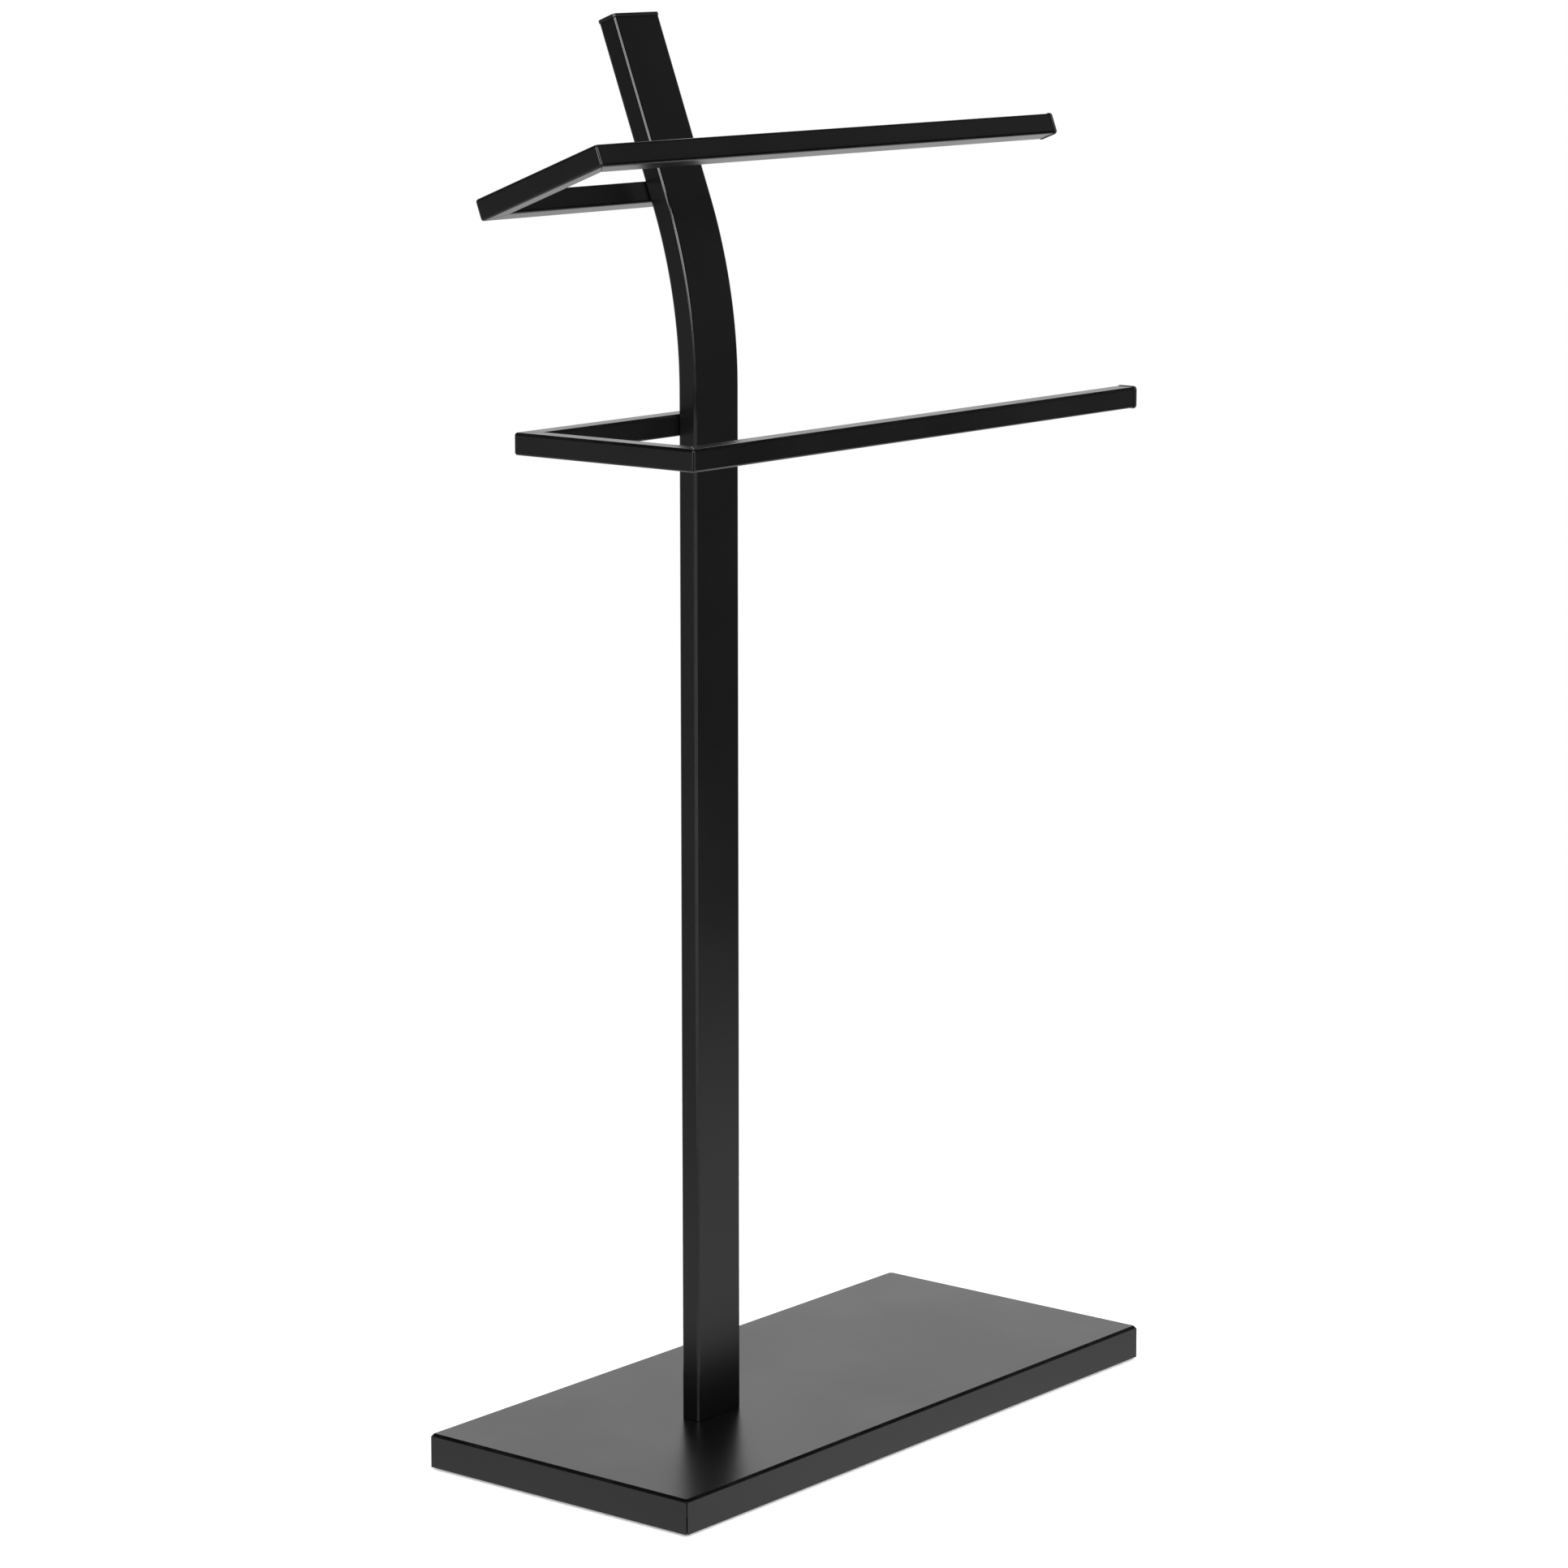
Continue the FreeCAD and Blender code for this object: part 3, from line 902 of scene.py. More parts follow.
@dataclass(frozen=True)
class SocketScrew:
    """Screw with its shank below the origin and a turned head with a key socket above it."""

    radius: float
    length: float
    head_radius: float
    head_height: float
    flats: float  # of the key
    dome: float  # how far the head's rim lies below its top
    plain: float  # length of plain shank under the head
    pitch: float = 0.8  # of the thread
    thread_depth: float = 0.35
    tip: float = 1.0  # the thread starts this far from the end
    tip_taper: float = 0.8
    chamfer: float = 0.15  # of the head's underside
    mouth: float = 0.25  # flat rim round the socket
    mouth_width: float = 0.1  # of the chamfer into the socket
    mouth_depth: float = 0.12
    drill: float = 0.35  # depth of the cone at the socket's bottom
    socket_edge: float = 0.2  # edge value inside the socket
    steps: int = 48
    dome_rows: int = 9

    def profile(self) -> np.ndarray:
        """The screw's outside as radius and height, from the tip up to the socket.

        The thread is a row of rings. The dome is a quarter of an ellipse.

        Returns:
            Pairs of shape (rows, 2).
        """
        crests = np.arange(self.length - self.tip, self.plain, -self.pitch)
        roots = pairs(self.radius - self.thread_depth, -crests - self.pitch / 2)
        thread = np.hstack([roots, pairs(self.radius, -crests)]).reshape(-1, 2)
        turn = np.linspace(0, QUARTER, self.dome_rows)
        mouth = self.flats / 2 / math.cos(SIXTH / 2) + self.mouth
        domed = mouth + (self.head_radius - mouth) * np.cos(turn)
        return np.vstack([
            [[0, -self.length], [self.radius - self.tip_taper, -self.length]],
            thread,
            [[self.radius, -self.plain], [self.radius, 0]],
            [[self.head_radius - self.chamfer, 0], [self.head_radius, self.chamfer]],
            pairs(domed, self.head_height - self.dome * (1 - np.sin(turn))),
        ])

    def surface(self) -> Surface:
        """Turn the screw and sink its six-sided socket.

        A hexagon's radius is flats / 2 / cos(30 degrees - d), where d is the angle to its
        nearest corner.

        Returns:
            The closed surface.
        """
        profile = self.profile()
        body = lathe(profile, self.steps)
        edge = np.zeros(len(profile))
        edge[-self.dome_rows:] = np.sin(np.linspace(0, math.pi, self.dome_rows))
        to_corner = np.abs((turns(self.steps) + SIXTH / 2) % SIXTH - SIXTH / 2)
        six = self.flats / 2 / np.cos(SIXTH / 2 - to_corner)
        floor = self.head_height / 2
        heights = (self.head_height, self.head_height - self.mouth_depth, floor, floor - self.drill)
        socket = rings(np.stack([six + self.mouth_width, six, six, six * 0.0]), heights)

        surface = Surface()
        surface.add_grid(body, edge[:, None])
        surface.add_grid(np.concatenate([body[-1:], socket]), self.socket_edge)
        return surface

    def pair(
        self, pitch: float, axes: Sequence[int], signs: Sequence[int], middle: Sequence[float]
    ) -> Surface:
        """Two of these screws, side by side along X.

        Args:
            pitch: From one screw to the other.
            axes: Which of the upright screw's coordinates each new one is.
            signs: The sign of each new coordinate.
            middle: The point between the two heads' undersides.

        Returns:
            Both screws' surfaces.
        """
        both, screw = Surface(), self.surface()
        for side in (-1, 1):
            both.join(screw.turned(axes, signs, (middle[0] + side * pitch / 2, *middle[1:])))
        return both


# ---- Base --------------------------------------------------------------------------------
# Places across a skirt, in shares of its half length, closer together at its two ends.
ACROSS = np.concatenate([[-1.0, -0.995], np.linspace(-0.96, 0.96, 9), [0.995, 1.0]])


@dataclass(frozen=True)
class Base:
    """Folded tray with open corner seams, closing pan, ballast and rubber pads."""

    length: float = 450.0
    depth: float = 200.0
    top: float = 23.0
    gap: float = 2.0  # skirt to the floor
    sheet: float = 1.2
    bend: float = 2.0  # outside radius of the folds
    lip: float = 0.25  # rounding of the skirt's lower edge
    lip_edge: float = 0.6  # edge value there
    seam: float = 0.5  # each skirt stops this far short of the corner
    relief: float = 1.7  # radius of the round relief where two folds meet
    relief_rows: int = 15
    skirt_rows: int = 4
    skirt_end: float = 0.05  # from its highest row to the relief's lowest
    tops: tuple[float, ...] = (0.35, 1.0, 4.0, 30.0)  # rows of the top, from the fold
    tab: float = 9.0  # legs of the angle tab behind each seam
    tab_bend: float = 1.5  # outside radius of its fold
    tab_gap: float = 0.02  # from the skirts' inside, and at its foot
    tab_drop: float = 0.4  # under the folds
    pad_height: float = 4.0
    pad_radius: float = 12.0
    pad_inset: float = 45.0
    pad_foot: float = 0.9  # rounding of the foot
    pad_shoulder: float = 0.35  # rounding of the top
    pad_steps: int = 64
    pad_rings: tuple[Pair, ...] = (
        (0.0, 0.5), (3.2, 0.5), (3.7, 0.05), (5.6, 0.0), (6.1, 0.6), (7.4, 0.6), (7.9, 0.0)
    )

    def fold(self, run: np.ndarray, offset: np.ndarray) -> tuple[np.ndarray, np.ndarray]:
        """The folded sheet's section, by the length run along its outside.

        The run is 0 in the middle of the fold, grows over the top and falls down the skirt.
        On the fold, t = run / bend + 45 degrees, and with r = bend - offset the point is
        bend - r cos t inwards and top - bend + r sin t high.

        Args:
            run: Lengths along the outside.
            offset: Depths under the outside skin.

        Returns:
            Distance inwards from the outer face, and height.
        """
        half_fold = self.bend * QUARTER / 2
        angle = np.clip(run / self.bend + QUARTER / 2, 0, QUARTER)
        down = np.minimum(run + half_fold, 0)
        over = np.maximum(run - half_fold, 0)
        inwards = self.bend - (self.bend - offset) * np.cos(angle) + over
        height = self.top - self.bend + (self.bend - offset) * np.sin(angle) + down
        return inwards, height

    def side(self, surface: Surface, half_along: float, half_out: float, quarter: int) -> None:
        """Add one skirt with its fold and its share of the top, as far as the middle ridge.

        The sheet's section goes from the ridge down its outside, round the lip and up its
        inside. A row runs across at one length along the section, and stops at the mitre,
        less the seam's width or the round relief's: the root of relief^2 - run^2.

        Args:
            surface: The surface to add to.
            half_along: Half the tray's size along this side.
            half_out: Half the tray's size across this side.
            quarter: Quarter turns from the front.
        """
        half_fold = self.bend * QUARTER / 2
        lowest = -half_fold - (self.top - self.gap - self.bend) + self.lip
        notch = self.relief * np.sin(np.linspace(-QUARTER, QUARTER, self.relief_rows))
        skirt = np.linspace(lowest, notch[0] - self.skirt_end, self.skirt_rows)
        over = half_fold + np.array([*self.tops, min(half_along, half_out) - self.bend])
        run = np.concatenate([skirt, notch, over])
        rows = len(run)

        run = np.concatenate([run[::-1], run[:1], run[:1], run])
        offset = np.repeat([0.0, self.lip, self.sheet - self.lip, self.sheet], [rows, 1, 1, rows])
        inwards, height = self.fold(run, offset)
        height[rows:rows + 2] -= self.lip
        relief = np.sqrt(np.maximum(self.relief ** 2 - run ** 2, 0))
        open_by = np.maximum(relief, np.where(run < 0, self.seam, 0))
        x = (half_along - inwards - open_by)[:, None] * ACROSS
        y = np.broadcast_to((inwards - half_out)[:, None], x.shape)
        z = np.broadcast_to(height[:, None], x.shape)
        cosine, sine = (1, 0, -1, 0)[quarter], (0, 1, 0, -1)[quarter]
        turn = np.array([[cosine, -sine, 0], [sine, cosine, 0], [0, 0, 1]])
        sheet = np.stack([x, y, z], axis=-1) @ turn.T

        edge = np.zeros(len(run))
        angle = np.clip(run[:rows] / self.bend + QUARTER / 2, 0, QUARTER)
        edge[:rows] = np.sin(2 * angle)
        edge[rows:rows + 2] = self.lip_edge
        surface.add_grid(sheet, edge[:, None], closed_columns=False)
        walled = 1 + self.skirt_rows + self.relief_rows
        for column in (0, -1):
            outside = sheet[rows::-1, column][:walled]
            inside = sheet[rows + 1:, column][:walled]
            surface.add_grid(np.stack([outside, inside], axis=1), closed_columns=False)

    def cover(self) -> Surface:
        """The whole tray, four sides welded along the ridge and the mitres of its top.

        Returns:
            The closed surface, with the tabs behind its seams.
        """
        surface = Surface()
        halves = (self.length / 2, self.depth / 2)
        for quarter in range(4):
            self.side(surface, halves[quarter % 2], halves[1 - quarter % 2], quarter)
        for x in (-1, 1):
            for y in (-1, 1):
                self.corner_tab(surface, x, y)
        return surface

    def corner_tab(self, surface: Surface, x: int, y: int) -> None:
        """Add the angle tab that is welded behind an open seam.

        An L of sheet thickness is carried straight up, from the skirts' lower edge to the
        fold.

        Args:
            surface: The surface to add to.
            x: Side of the tray, -1 or 1.
            y: Side of the tray, -1 or 1.
        """
        outer, inner, leg = self.sheet + self.tab_gap, 2 * self.sheet, self.tab
        bend = arc_profile([outer + self.tab_bend] * 2, self.tab_bend, 180, 270)
        ends = [[leg, outer], [leg, inner], [inner, inner], [inner, leg], [outer, leg]]
        profile = np.vstack([bend, ends])
        flat = (np.array([self.length, self.depth]) / 2 - profile) * np.array([x, y])
        levels = (self.gap + self.tab_gap, self.top - self.bend - self.tab_drop)
        walls = stacked(np.stack([flat, flat]), levels)
        heart = np.repeat(walls[:, -3:-2], len(flat), axis=1)
        surface.add_grid(np.stack([heart[0], walls[0], walls[1], heart[1]]))

    def pad(self, x: float, y: float) -> Surface:
        """One rubber pad: a turned disc with a rounded foot and two rings moulded into it.

        Args:
            x: Its place along the base.
            y: Its place across the base.

        Returns:
            The closed surface.
        """
        foot, shoulder = self.pad_foot, self.pad_shoulder
        top = (self.pad_radius - shoulder, self.pad_height - shoulder)
        rounded = arc_profile((self.pad_radius - foot, foot), foot, -90, 0)
        profile = np.vstack([
            self.pad_rings, rounded, arc_profile(top, shoulder, 0, 90, 4), [[0.0, self.pad_height]]
        ])
        edge = np.zeros(len(profile))
        edge[len(self.pad_rings):][:len(rounded)] = 1.0
        surface = Surface()
        surface.add_grid(lathe(profile, self.pad_steps) + np.array([x, y, 0.0]), edge[:, None])
        return surface

    def build(self, workshop: Workshop) -> None:
        """Make the base's pieces.

        Args:
            workshop: Where the finishes are.
        """
        workshop.piece("tray", self.cover(), Slot.COAT, ["base_cover"])
        reach_x, reach_y = self.length / 2 - self.pad_inset, self.depth / 2 - self.pad_inset
        pads = {
            "centre": (0, 0),
            "front_left": (-1, -1),
            "front_right": (1, -1),
            "rear_left": (-1, 1),
            "rear_right": (1, 1),
        }
        for where, (x, y) in pads.items():
            pad = self.pad(x * reach_x, y * reach_y)
            workshop.piece("pad_" + where, pad, Slot.RUBBER, ["foot_pad_" + where])
        workshop.dress("base_underside_panel", Slot.COAT)
        workshop.dress("base_ballast", Slot.CONCRETE)
        workshop.dress("base_mounting_plate", Slot.ZINC)


# ---- Upright -----------------------------------------------------------------------------
@dataclass(frozen=True)
class Upright:
    """Flat tube that stands on the base and leans back above a long bend."""

    height: float = 861.0  # floor to the highest edge of the cap
    x: float = -87.5
    y: float = -4.3
    foot: float = 23.0
    tube: Tube = POST_TUBE
    bend_radius: float = 304.0
    bend_rows: int = 43
    lean: float = 20.9  # degrees
    upper_straight: float = 111.0
    lower_rows: Pair = (0.4, 277.0)  # above the foot
    upper_rows: Triple = (0.5, 0.997, 1.0)  # shares of the upper straight
    end_inset: float = 0.3  # rounding of the skin at both ends
    flange: float = 2.3
    cap_rim: float = 6.2  # the cap's highest edge, from its centre line
    cap: Plug = Plug(POST_TUBE, reach=13.0, overhang=0.4, flange=2.12, rim=0.35, crown=0.04)
    bolt: SocketScrew = SocketScrew(
        radius=3.0,
        length=20.2,
        head_radius=5.0,
        head_height=6.0,
        flats=5.0,
        dome=0.5,
        plain=8.0,
        pitch=1.0,
        thread_depth=0.4,
    )
    bolt_pitch: float = 22.0
    plate_bottom: float = 17.8

    def bend_start(self) -> float:
        """Height of the bend's lower end, which follows from the whole height.

        Returns:
            The height less the leaning top's and less the bend's own rise.
        """
        sine, cosine = math.sin(math.radians(self.lean)), math.cos(math.radians(self.lean))
        leaning = (self.upper_straight + self.flange) * cosine + self.cap_rim * sine
        return self.height - leaning - self.bend_radius * sine

    def top_place(self, rise: float) -> Place:
        """Place on the leaning top, a distance above the bend's upper end.

        Args:
            rise: The distance along the tube.

        Returns:
            The place.
        """
        sine, cosine = math.sin(math.radians(self.lean)), math.cos(math.radians(self.lean))
        y = self.y + self.bend_radius * (1 - cosine) + rise * sine
        z = self.bend_start() + self.bend_radius * sine + rise * cosine
        return Place((self.x, y, z), self.lean)

    def path(self) -> Path:
        """Line of the tube: straight, then an arc of the bend's radius, then straight.

        On the arc the centre is (y + R (1 - cos a), z + R sin a) at the angle a. The
        section's width runs along X and its depth square to the tube.

        Returns:
            The path from the foot to the open top.
        """
        lower = self.foot + np.array([0.0, *self.lower_rows])
        shares = self.upper_straight * np.array(self.upper_rows)
        arc = np.radians(np.linspace(0, self.lean, self.bend_rows))
        y = self.y + self.bend_radius * (1 - np.cos(arc))
        z = self.bend_start() + self.bend_radius * np.sin(arc)
        y = np.concatenate([lower * 0 + self.y, y, y[-1] + shares * math.sin(arc[-1])])
        z = np.concatenate([lower, z, z[-1] + shares * math.cos(arc[-1])])
        lean = np.concatenate([lower * 0, arc, shares * 0 + arc[-1]])
        none = np.zeros(len(lean))
        across = np.stack([none + 1, none, none], axis=-1)
        through = np.stack([none, np.cos(lean), -np.sin(lean)], axis=-1)
        inset = none.copy()
        inset[[0, -1]] = self.end_inset
        return Path(np.stack([none + self.x, y, z], axis=-1), across, through, none, inset)

    def build(self, workshop: Workshop) -> None:
        """Make the upright, its cap and its fasteners.

        Args:
            workshop: Where the finishes are.
        """
        workshop.piece("upright", self.tube.surface(self.path()), Slot.COAT, ["post"])
        place = self.top_place(self.upper_straight)
        workshop.piece("upright_cap", self.cap.surface(), Slot.PLASTIC, ["post_top_cap"], place)
        workshop.dress("post_foot_block", Slot.ZINC)
        middle = (self.x, self.y, self.plate_bottom)
        bolts = self.bolt.pair(self.bolt_pitch, (0, 1, 2), (1, -1, -1), middle)
        workshop.piece("upright_bolts", bolts, Slot.ZINC, ["post_bolts"])


# ---- Arms --------------------------------------------------------------------------------
@dataclass(frozen=True)
class Arm:
    """One arm: rear, side and front rail of square tube, mitred, with plugs and screws.

    Its own frame has the origin on the upright's centre line at the rails' height, X to the
    right, Y to the back and Z along the upright.
    """

    name: str
    place: Place
    left: float  # reach of the outside from the origin
    right: float
    front: float
    tube: Tube = RAIL_TUBE
    post: Tube = POST_TUBE
    rear_inset: float = 0.5  # of the rear cap from the upright's right side
    corner: float = 1.8  # rounding of the mitres' outer edge, as the tube's own
    rows: tuple[float, ...] = (0.0, 0.12, 0.25, 0.45, 0.75, 1.1, 1.45, 1.8, 2.4)
    seam: Triple = (0.5, 0.4, 0.12)  # how far the first rows are drawn in at a mitre
    front_plug: Plug = Plug(RAIL_TUBE, reach=13.0, overhang=0.4)
    rear_plug: Plug = Plug(RAIL_TUBE, reach=4.5, overhang=0.0)
    screw: SocketScrew = SocketScrew(
        radius=2.5,
        length=19.2,
        head_radius=4.75,
        head_height=2.75,
        flats=3.0,
        dome=2.2,
        plain=12.0,
    )
    screw_pitch: float = 16.0

    def rail(self, along: int, start: float, end: float, line: float, slants: Pair) -> Surface:
        """One rail between two ends, with a seam along each mitre and a rounded outer edge.

        The seam is a narrow groove: beside the mitre the skin is drawn in.

        Args:
            along: 0 for a rail along X, 1 for a rail along Y.
            start: Place of its centre line's first end.
            end: Place of its centre line's last end.
            line: The centre line's other coordinate.
            slants: How far each end runs on per width across; 0 is a square end.

        Returns:
            The closed surface.
        """
        steps = np.array(self.rows)
        groove = np.zeros(len(steps))
        groove[:len(self.seam)] = self.seam
        mitred = (slants[0] != 0, slants[1] != 0)
        inset = np.concatenate([groove * mitred[0], groove[::-1] * mitred[1]])
        centres = np.zeros((len(inset), 3))
        centres[:, along] = np.concatenate([start + steps, (end - steps)[::-1]])
        centres[:, 1 - along] = line
        tangent = np.tile(np.eye(3)[along], (len(inset), 1))
        across = np.tile(np.eye(3)[1 - along], (len(inset), 1))
        slant = np.repeat(slants, len(steps)).astype(float)
        path = Path(centres, across, np.cross(tangent, across), slant, inset)
        surface = self.tube.surface(path)

        half = self.tube.width / 2
        outwards = np.sign(line - self.middle()[1 - along])
        for mark, is_mitred in ((start - half, mitred[0]), (end + half, mitred[1])):
            if is_mitred:
                corner = np.full(2, line + outwards * half)
                corner[along] = mark
                surface.points = [self.rounded(grid, corner) for grid in surface.points]
        return surface

    def back(self) -> float:
        """How far the rear rail's back lies behind the origin."""
        return self.post.depth / 2 + self.tube.width

    def middle(self) -> np.ndarray:
        """Middle of the arm's outline, X and Y."""
        return np.array([(self.right - self.left) / 2, (self.back() - self.front) / 2])

    def rounded(self, points: np.ndarray, corner: np.ndarray) -> np.ndarray:
        """Round the outer upright edge of a mitre.

        In the square of the radius's side at the corner, u and w are a point's distances
        from the arc's centre along X and Y. Both are scaled by the greater of the two over
        their hypotenuse, which turns every square ring about the centre into a round one.

        Args:
            points: Points whose last axis is X, Y, Z.
            corner: X and Y of the sharp corner.

        Returns:
            The points, with those beside the corner moved in.
        """
        least = 1e-6  # keeps the centre itself where it is
        inwards = np.sign(self.middle() - corner)
        centre = corner + inwards * self.corner
        offset = (centre - points[..., :2]) * inwards
        inside = (offset > least).all(axis=-1)
        scale = offset.max(axis=-1) / np.maximum(np.hypot(offset[..., 0], offset[..., 1]), least)
        moved = points.copy()
        moved[inside, :2] = (centre - offset * inwards * scale[..., None])[inside]
        return moved

    def build(self, workshop: Workshop) -> None:
        """Make the arm's pieces.

        Args:
            workshop: Where the finishes are.
        """
        half = self.tube.width / 2
        rear_line, side_line, front_line = self.back() - half, half - self.left, half - self.front
        front_end = self.right - self.front_plug.flange
        rear_end = self.post.width / 2 - self.rear_inset - self.rear_plug.flange
        rear_rail = self.rail(0, side_line, rear_end, rear_line, (-1, 0))
        side_rail = self.rail(1, front_line, rear_line, side_line, (1, -1))
        front_rail = self.rail(0, side_line, front_end, front_line, (1, 0))
        lying = ((2, 1, 0), (1, 1, -1))
        front_cap = self.front_plug.surface().turned(*lying, (front_end, front_line, 0))
        rear_cap = self.rear_plug.surface().turned(*lying, (rear_end, rear_line, 0))
        middle = (0, self.back(), 0)
        screws = self.screw.pair(self.screw_pitch, (0, 2, 1), (1, 1, -1), middle)
        pieces = (
            ("rear_rail", rear_rail, Slot.COAT),
            ("side_rail", side_rail, Slot.COAT),
            ("front_rail", front_rail, Slot.COAT),
            ("front_rail_cap", front_cap, Slot.PLASTIC),
            ("rear_rail_cap", rear_cap, Slot.PLASTIC),
            ("arm_screws", screws, Slot.SCREWS),
        )
        for name, surface, slot in pieces:
            node = f"{self.name}_{name}"
            workshop.piece("looks_" + node, surface, slot, [node], self.place)
        workshop.dress(self.name + "_arm_weld_nuts", Slot.ZINC)


# ---- Studio ------------------------------------------------------------------------------
def look(at: Sequence[float], towards: Sequence[float]) -> Triple:
    """Angles that turn a lamp from straight down towards a point.

    Args:
        at: Where it is.
        towards: The point.

    Returns:
        Euler angles about X, Y and Z.
    """
    x, y, z = np.subtract(towards, at)
    level = math.hypot(x, y)
    return (QUARTER + math.atan2(z, level), 0.0, math.atan2(y, x) - QUARTER)


@dataclass(frozen=True)
class Lamp:
    """A soft rectangular lamp that looks at a point."""

    name: str
    at: Triple  # metres
    towards: Triple
    size: Pair
    strength: float  # of its face, where 1 is white

    def build(self) -> None:
        """Hang the lamp."""
        data = bpy.data.lights.new(self.name, "AREA")
        data.shape = "RECTANGLE"
        data.size, data.size_y = self.size
        data.energy = self.strength * math.pi * self.size[0] * self.size[1]
        item = put_in_scene(self.name, data)
        item.location = self.at
        item.rotation_euler = look(self.at, self.towards)
        item.visible_camera = False


@dataclass(frozen=True)
class Viewpoint:
    """The camera: where it stands, where it looks and its focal length in pixels."""

    at: Triple = (-2.357, -1.8882, 0.9565)
    turn: float = 38.842  # degrees from +X towards +Y
    tilt: float = -10.496  # degrees above the level
    focal: float = 6242.3  # pixels of the picture

    def build(self) -> None:
        """Make the camera and the scene's view."""
        data = bpy.data.cameras.new("camera")
        data.sensor_fit = "HORIZONTAL"
        data.sensor_width = SENSOR_WIDTH
        data.lens = self.focal / PHOTO_SIDE * SENSOR_WIDTH
        data.clip_start, data.clip_end = CLIP_RANGE
        item = put_in_scene("camera", data)
        item.location = self.at
        item.rotation_euler = (math.radians(90 + self.tilt), 0.0, math.radians(self.turn - 90))
        bpy.context.scene.camera = item


@dataclass(frozen=True)
class Glow:
    """A level of light that rises towards one side."""

    towards: Triple
    rise: Pair  # how far that way it starts and is full
    level: float = 1.0  # 1 is white

    def at(self, tree: Tree, place: Socket) -> Socket:
        """The level at a place or in a direction: a smooth step of its reach that way."""
        reach = tree.add("VectorMath", place, self.towards, operation="DOT_PRODUCT")
        return tree.maths("MULTIPLY", tree.ramp(reach.outputs["Value"], *self.rise), self.level)


# Unit directions from the stand.
BEHIND = (0.6, 0.8, 0.0)
FAR_BEHIND = (0.77, 0.64, 0.0)
RIGHT = (0.777, -0.629, 0.0)
IN_FRONT = (-0.707, -0.707, 0.0)
UP = (0.0, 0.0, 1.0)


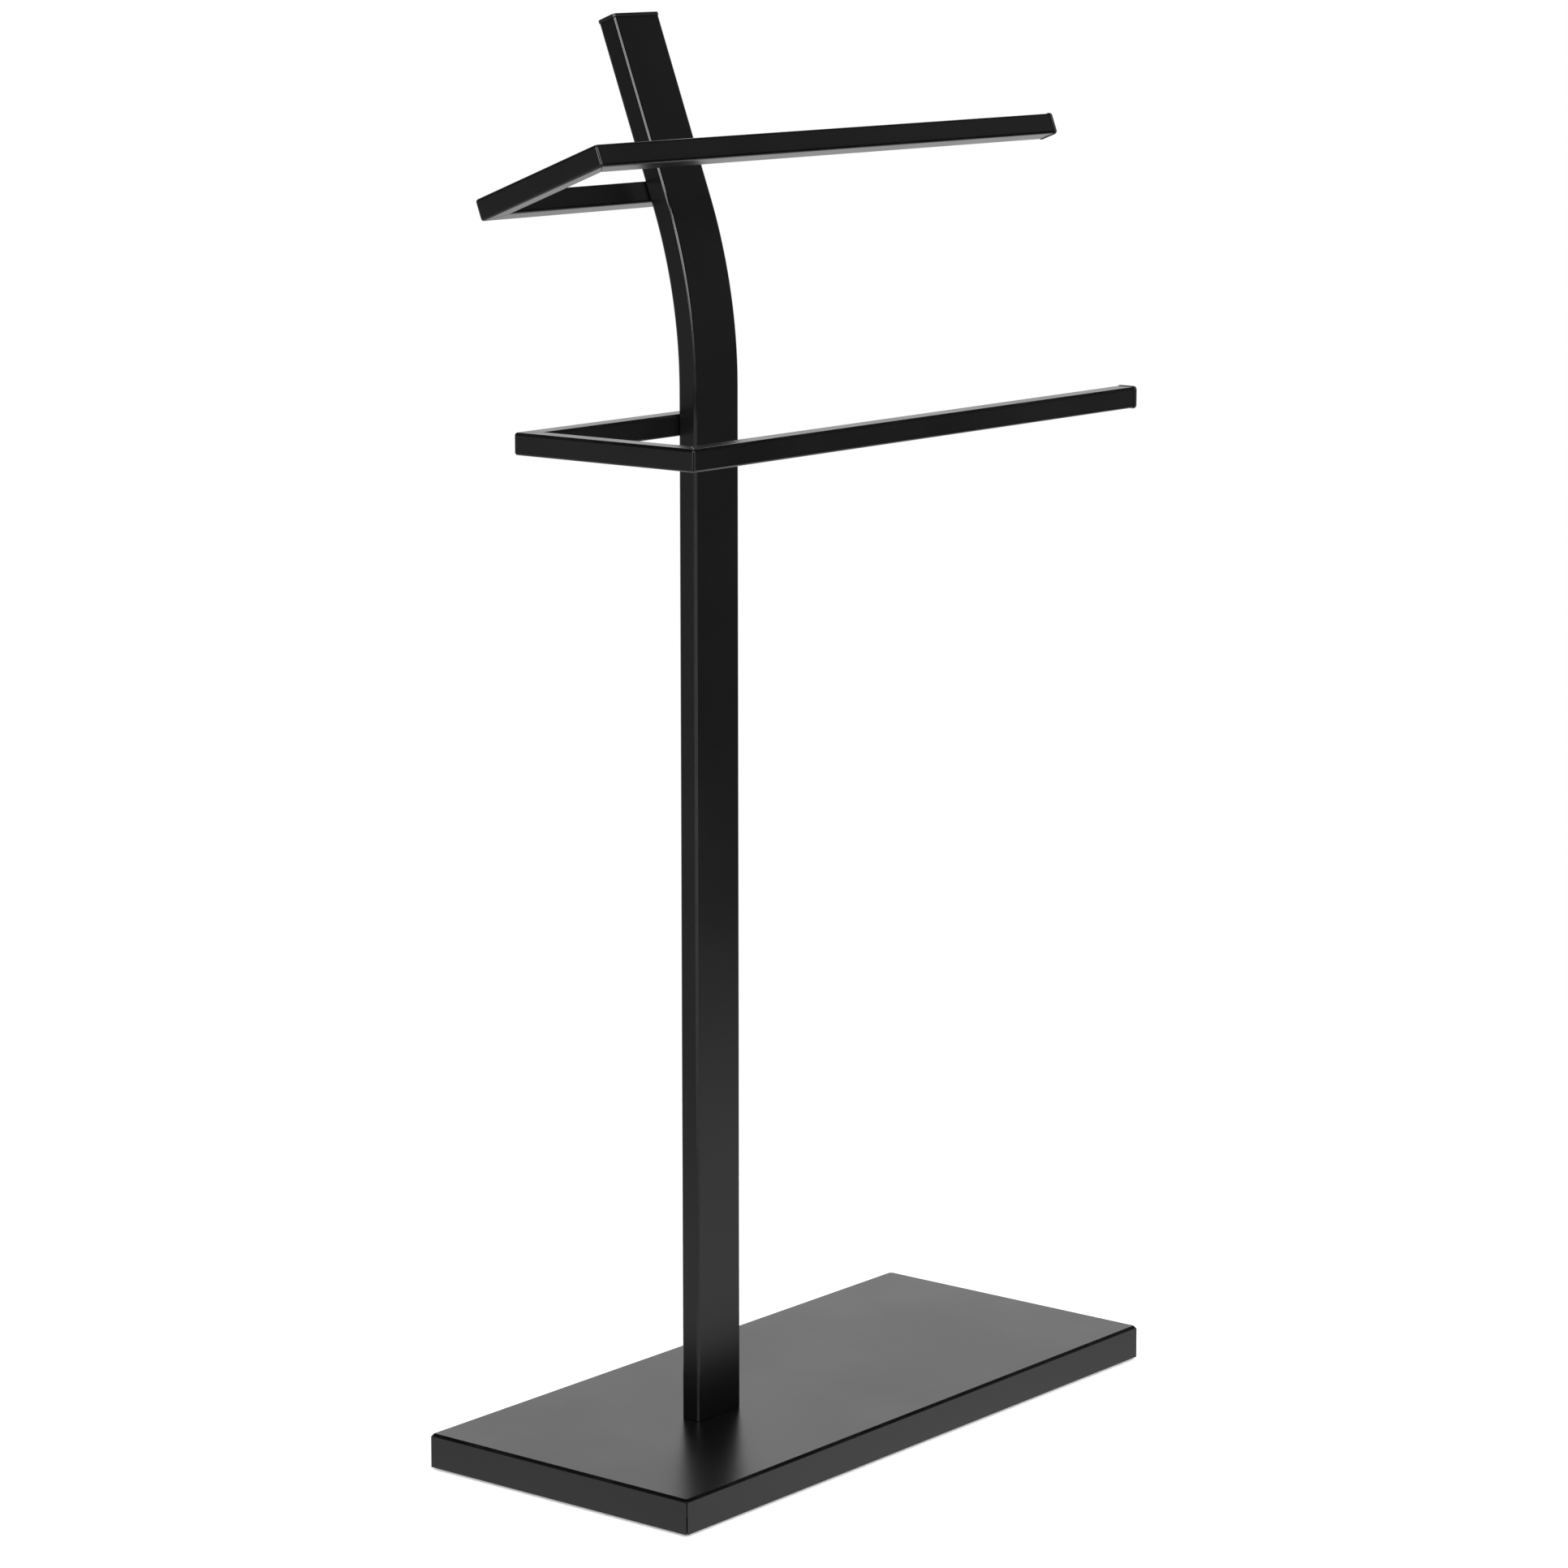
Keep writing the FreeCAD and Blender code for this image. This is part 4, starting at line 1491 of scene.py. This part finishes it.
@dataclass(frozen=True)
class Studio:
    """White backdrop, a pale sheet on the floor and soft lamps.

    The sheet is lit near the stand and in front of it, sweeps up behind it, ends on its right
    and grows dim on its left, which is what the black coat shows in its flat faces. Two soft
    boxes, on the left and in front, draw the light lines along its rounded edges.
    """

    floor_reach: float = 6.0  # metres to each side
    floor_tone: float = 0.82
    floor_glow: float = 0.3  # to the camera
    clear: Pair = (0.5, 1.1)  # metres from the stand to plain white
    falloff: Pair = (0.9, 0.6)  # of the lit floor, per metre and per square metre
    right_floor: Glow = Glow(RIGHT, (0.1, 0.4), 0.65)
    right_end: Glow = Glow(RIGHT, (0.95, 1.25))
    sweep: Glow = Glow(BEHIND, (0.3, 1.2), 1.1)
    front_floor: Glow = Glow(IN_FRONT, (0.5, 0.9), 0.85)
    front_wall: Glow = Glow(IN_FRONT, (0.55, 0.85), 1.3)
    horizon: Glow = Glow(UP, (-0.02, 0.04))
    ceiling: Glow = Glow(UP, (0.36, 0.52))
    backdrop: Glow = Glow(FAR_BEHIND, (0.35, 0.75), 1.12)  # above the level to the sides
    side_level: float = 0.08  # over the horizon, to the sides
    dim: float = 0.03  # the ceiling, as reflections show it
    room: float = 0.5  # even light from all round on the object
    lamps: tuple[Lamp, ...] = (
        Lamp("left_softbox", (-2.52, -0.89, 1.7), (-0.09, 0.0, 0.75), (1.35, 1.2), 7.0),
        Lamp("front_softbox", (-1.1, -2.35, 1.8), (-0.09, 0.0, 0.75), (1.35, 1.5), 7.0),
        Lamp("top_softbox", (-0.2, -0.1, 2.6), (0.0, 0.0, 0.2), (1.2, 1.2), 3.5),
    )

    def floor(self) -> None:
        """Lay the floor as a grid of nine points."""
        x, y = np.meshgrid(*[np.linspace(-1, 1, 3) * self.floor_reach] * 2)
        points = np.stack([x, y, np.zeros_like(x)], axis=-1).reshape(-1, 3)
        mesh = bpy.data.meshes.new("floor")
        mesh.from_pydata(points.tolist(), [], quads_of(np.arange(9).reshape(3, 3)).tolist())
        mesh.materials.append(self.floor_material())
        item = put_in_scene("floor", mesh)

    def floor_material(self) -> bpy.types.Material:
        """Make the pale sheet.

        To the camera it is matt with a little glow, so that only a shadow is darker than
        white, and plain white further off. Reflections see it bright near the stand, at the
        back and in front, lit as far as its end on the right, and dimmer with the distance d
        elsewhere: 1 / (1 + 0.9 d + 0.6 d^2).

        Returns:
            The material.
        """
        material = bpy.data.materials.new("pale_floor")
        material.use_nodes = True
        material.cycles.emission_sampling = "NONE"
        tree = Tree(material.node_tree)
        rays = tree.add("LightPath").outputs
        place = tree.add("TexCoord").outputs["Object"]
        distance = tree.add("VectorMath", place, operation="LENGTH").outputs["Value"]

        matt = tree.add("BsdfDiffuse", Color=(*grey(self.floor_tone), 1), Roughness=1.0)
        glow = tree.maths("MULTIPLY", rays["Is Camera Ray"], self.floor_glow)
        sheet = tree.add("AddShader", matt.outputs[0], tree.white("Emission", glow)).outputs[0]
        far = tree.maths("MULTIPLY", tree.ramp(distance, *self.clear), rays["Is Camera Ray"])
        seen = tree.mix(far, sheet, tree.white("Emission", 1.0))

        linear, square = self.falloff
        slope = tree.maths("ADD", linear, tree.maths("MULTIPLY", distance, square))
        spread = tree.maths("ADD", 1.0, tree.maths("MULTIPLY", distance, slope))
        pool = tree.maths("DIVIDE", 1.0, spread)
        pool = tree.maths("MAXIMUM", pool, self.right_floor.at(tree, place))
        left_over = tree.maths("SUBTRACT", 1.0, self.right_end.at(tree, place))
        pool = tree.maths("MULTIPLY", pool, left_over)
        for side in (self.sweep, self.front_floor):
            pool = tree.maths("MAXIMUM", pool, side.at(tree, place))
        mirrors = tree.maths("MAXIMUM", rays["Is Glossy Ray"], rays["Is Transmission Ray"])
        tree.add("OutputMaterial", tree.mix(mirrors, seen, tree.white("Emission", pool)))
        return material

    def world(self) -> None:
        """Make the surroundings.

        The camera sees plain white. Reflections see a white band over the horizon, full
        behind the stand and weak to the sides, and a lit wall in front, under a dim ceiling.
        Everything else gets an even light.
        """
        world = bpy.data.worlds.new("studio")
        bpy.context.scene.world = world
        world.use_nodes = True
        world.cycles.sampling_method = "NONE"
        tree = Tree(world.node_tree)
        rays = tree.add("LightPath").outputs
        way = tree.add("TexCoord").outputs["Generated"]
        rising = self.horizon.at(tree, way)
        under = tree.maths("SUBTRACT", 1.0, self.ceiling.at(tree, way))
        band = tree.maths("MULTIPLY", rising, under)
        share = tree.maths("ADD", self.backdrop.at(tree, way), self.side_level)
        wall = tree.maths("MULTIPLY", rising, self.front_wall.at(tree, way))
        level = tree.maths("MAXIMUM", tree.maths("MULTIPLY", band, share), wall)
        mirrored = tree.white("Background", tree.maths("MAXIMUM", level, self.dim))
        unseen = tree.mix(rays["Is Glossy Ray"], tree.white("Background", self.room), mirrored)
        seen = tree.maths("MAXIMUM", rays["Is Camera Ray"], rays["Is Transmission Ray"])
        tree.add("OutputWorld", tree.mix(seen, unseen, tree.white("Background", 1.0)))

    def build(self) -> None:
        """Set up the studio."""
        bpy.context.scene.view_settings.view_transform = "Standard"
        self.floor()
        self.world()
        for lamp in self.lamps:
            lamp.build()


def main() -> None:
    """Build the stand in order, then the studio and the camera."""
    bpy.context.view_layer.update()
    workshop = Workshop()
    upright = Upright()
    below_bend, above_bend = 20.0, 9.2
    lower_place = Place((upright.x, upright.y, upright.bend_start() - below_bend))
    parts = [
        Base(),
        upright,
        Arm("lower", lower_place, left=149.0, right=274.0, front=113.0),
        Arm("upper", upright.top_place(above_bend), left=153.0, right=274.0, front=77.5),
    ]
    for part in parts:
        part.build(workshop)
        log.info("%s built", type(part).__name__)
    Studio().build()
    Viewpoint().build()


if __name__ == "__main__":
    main()
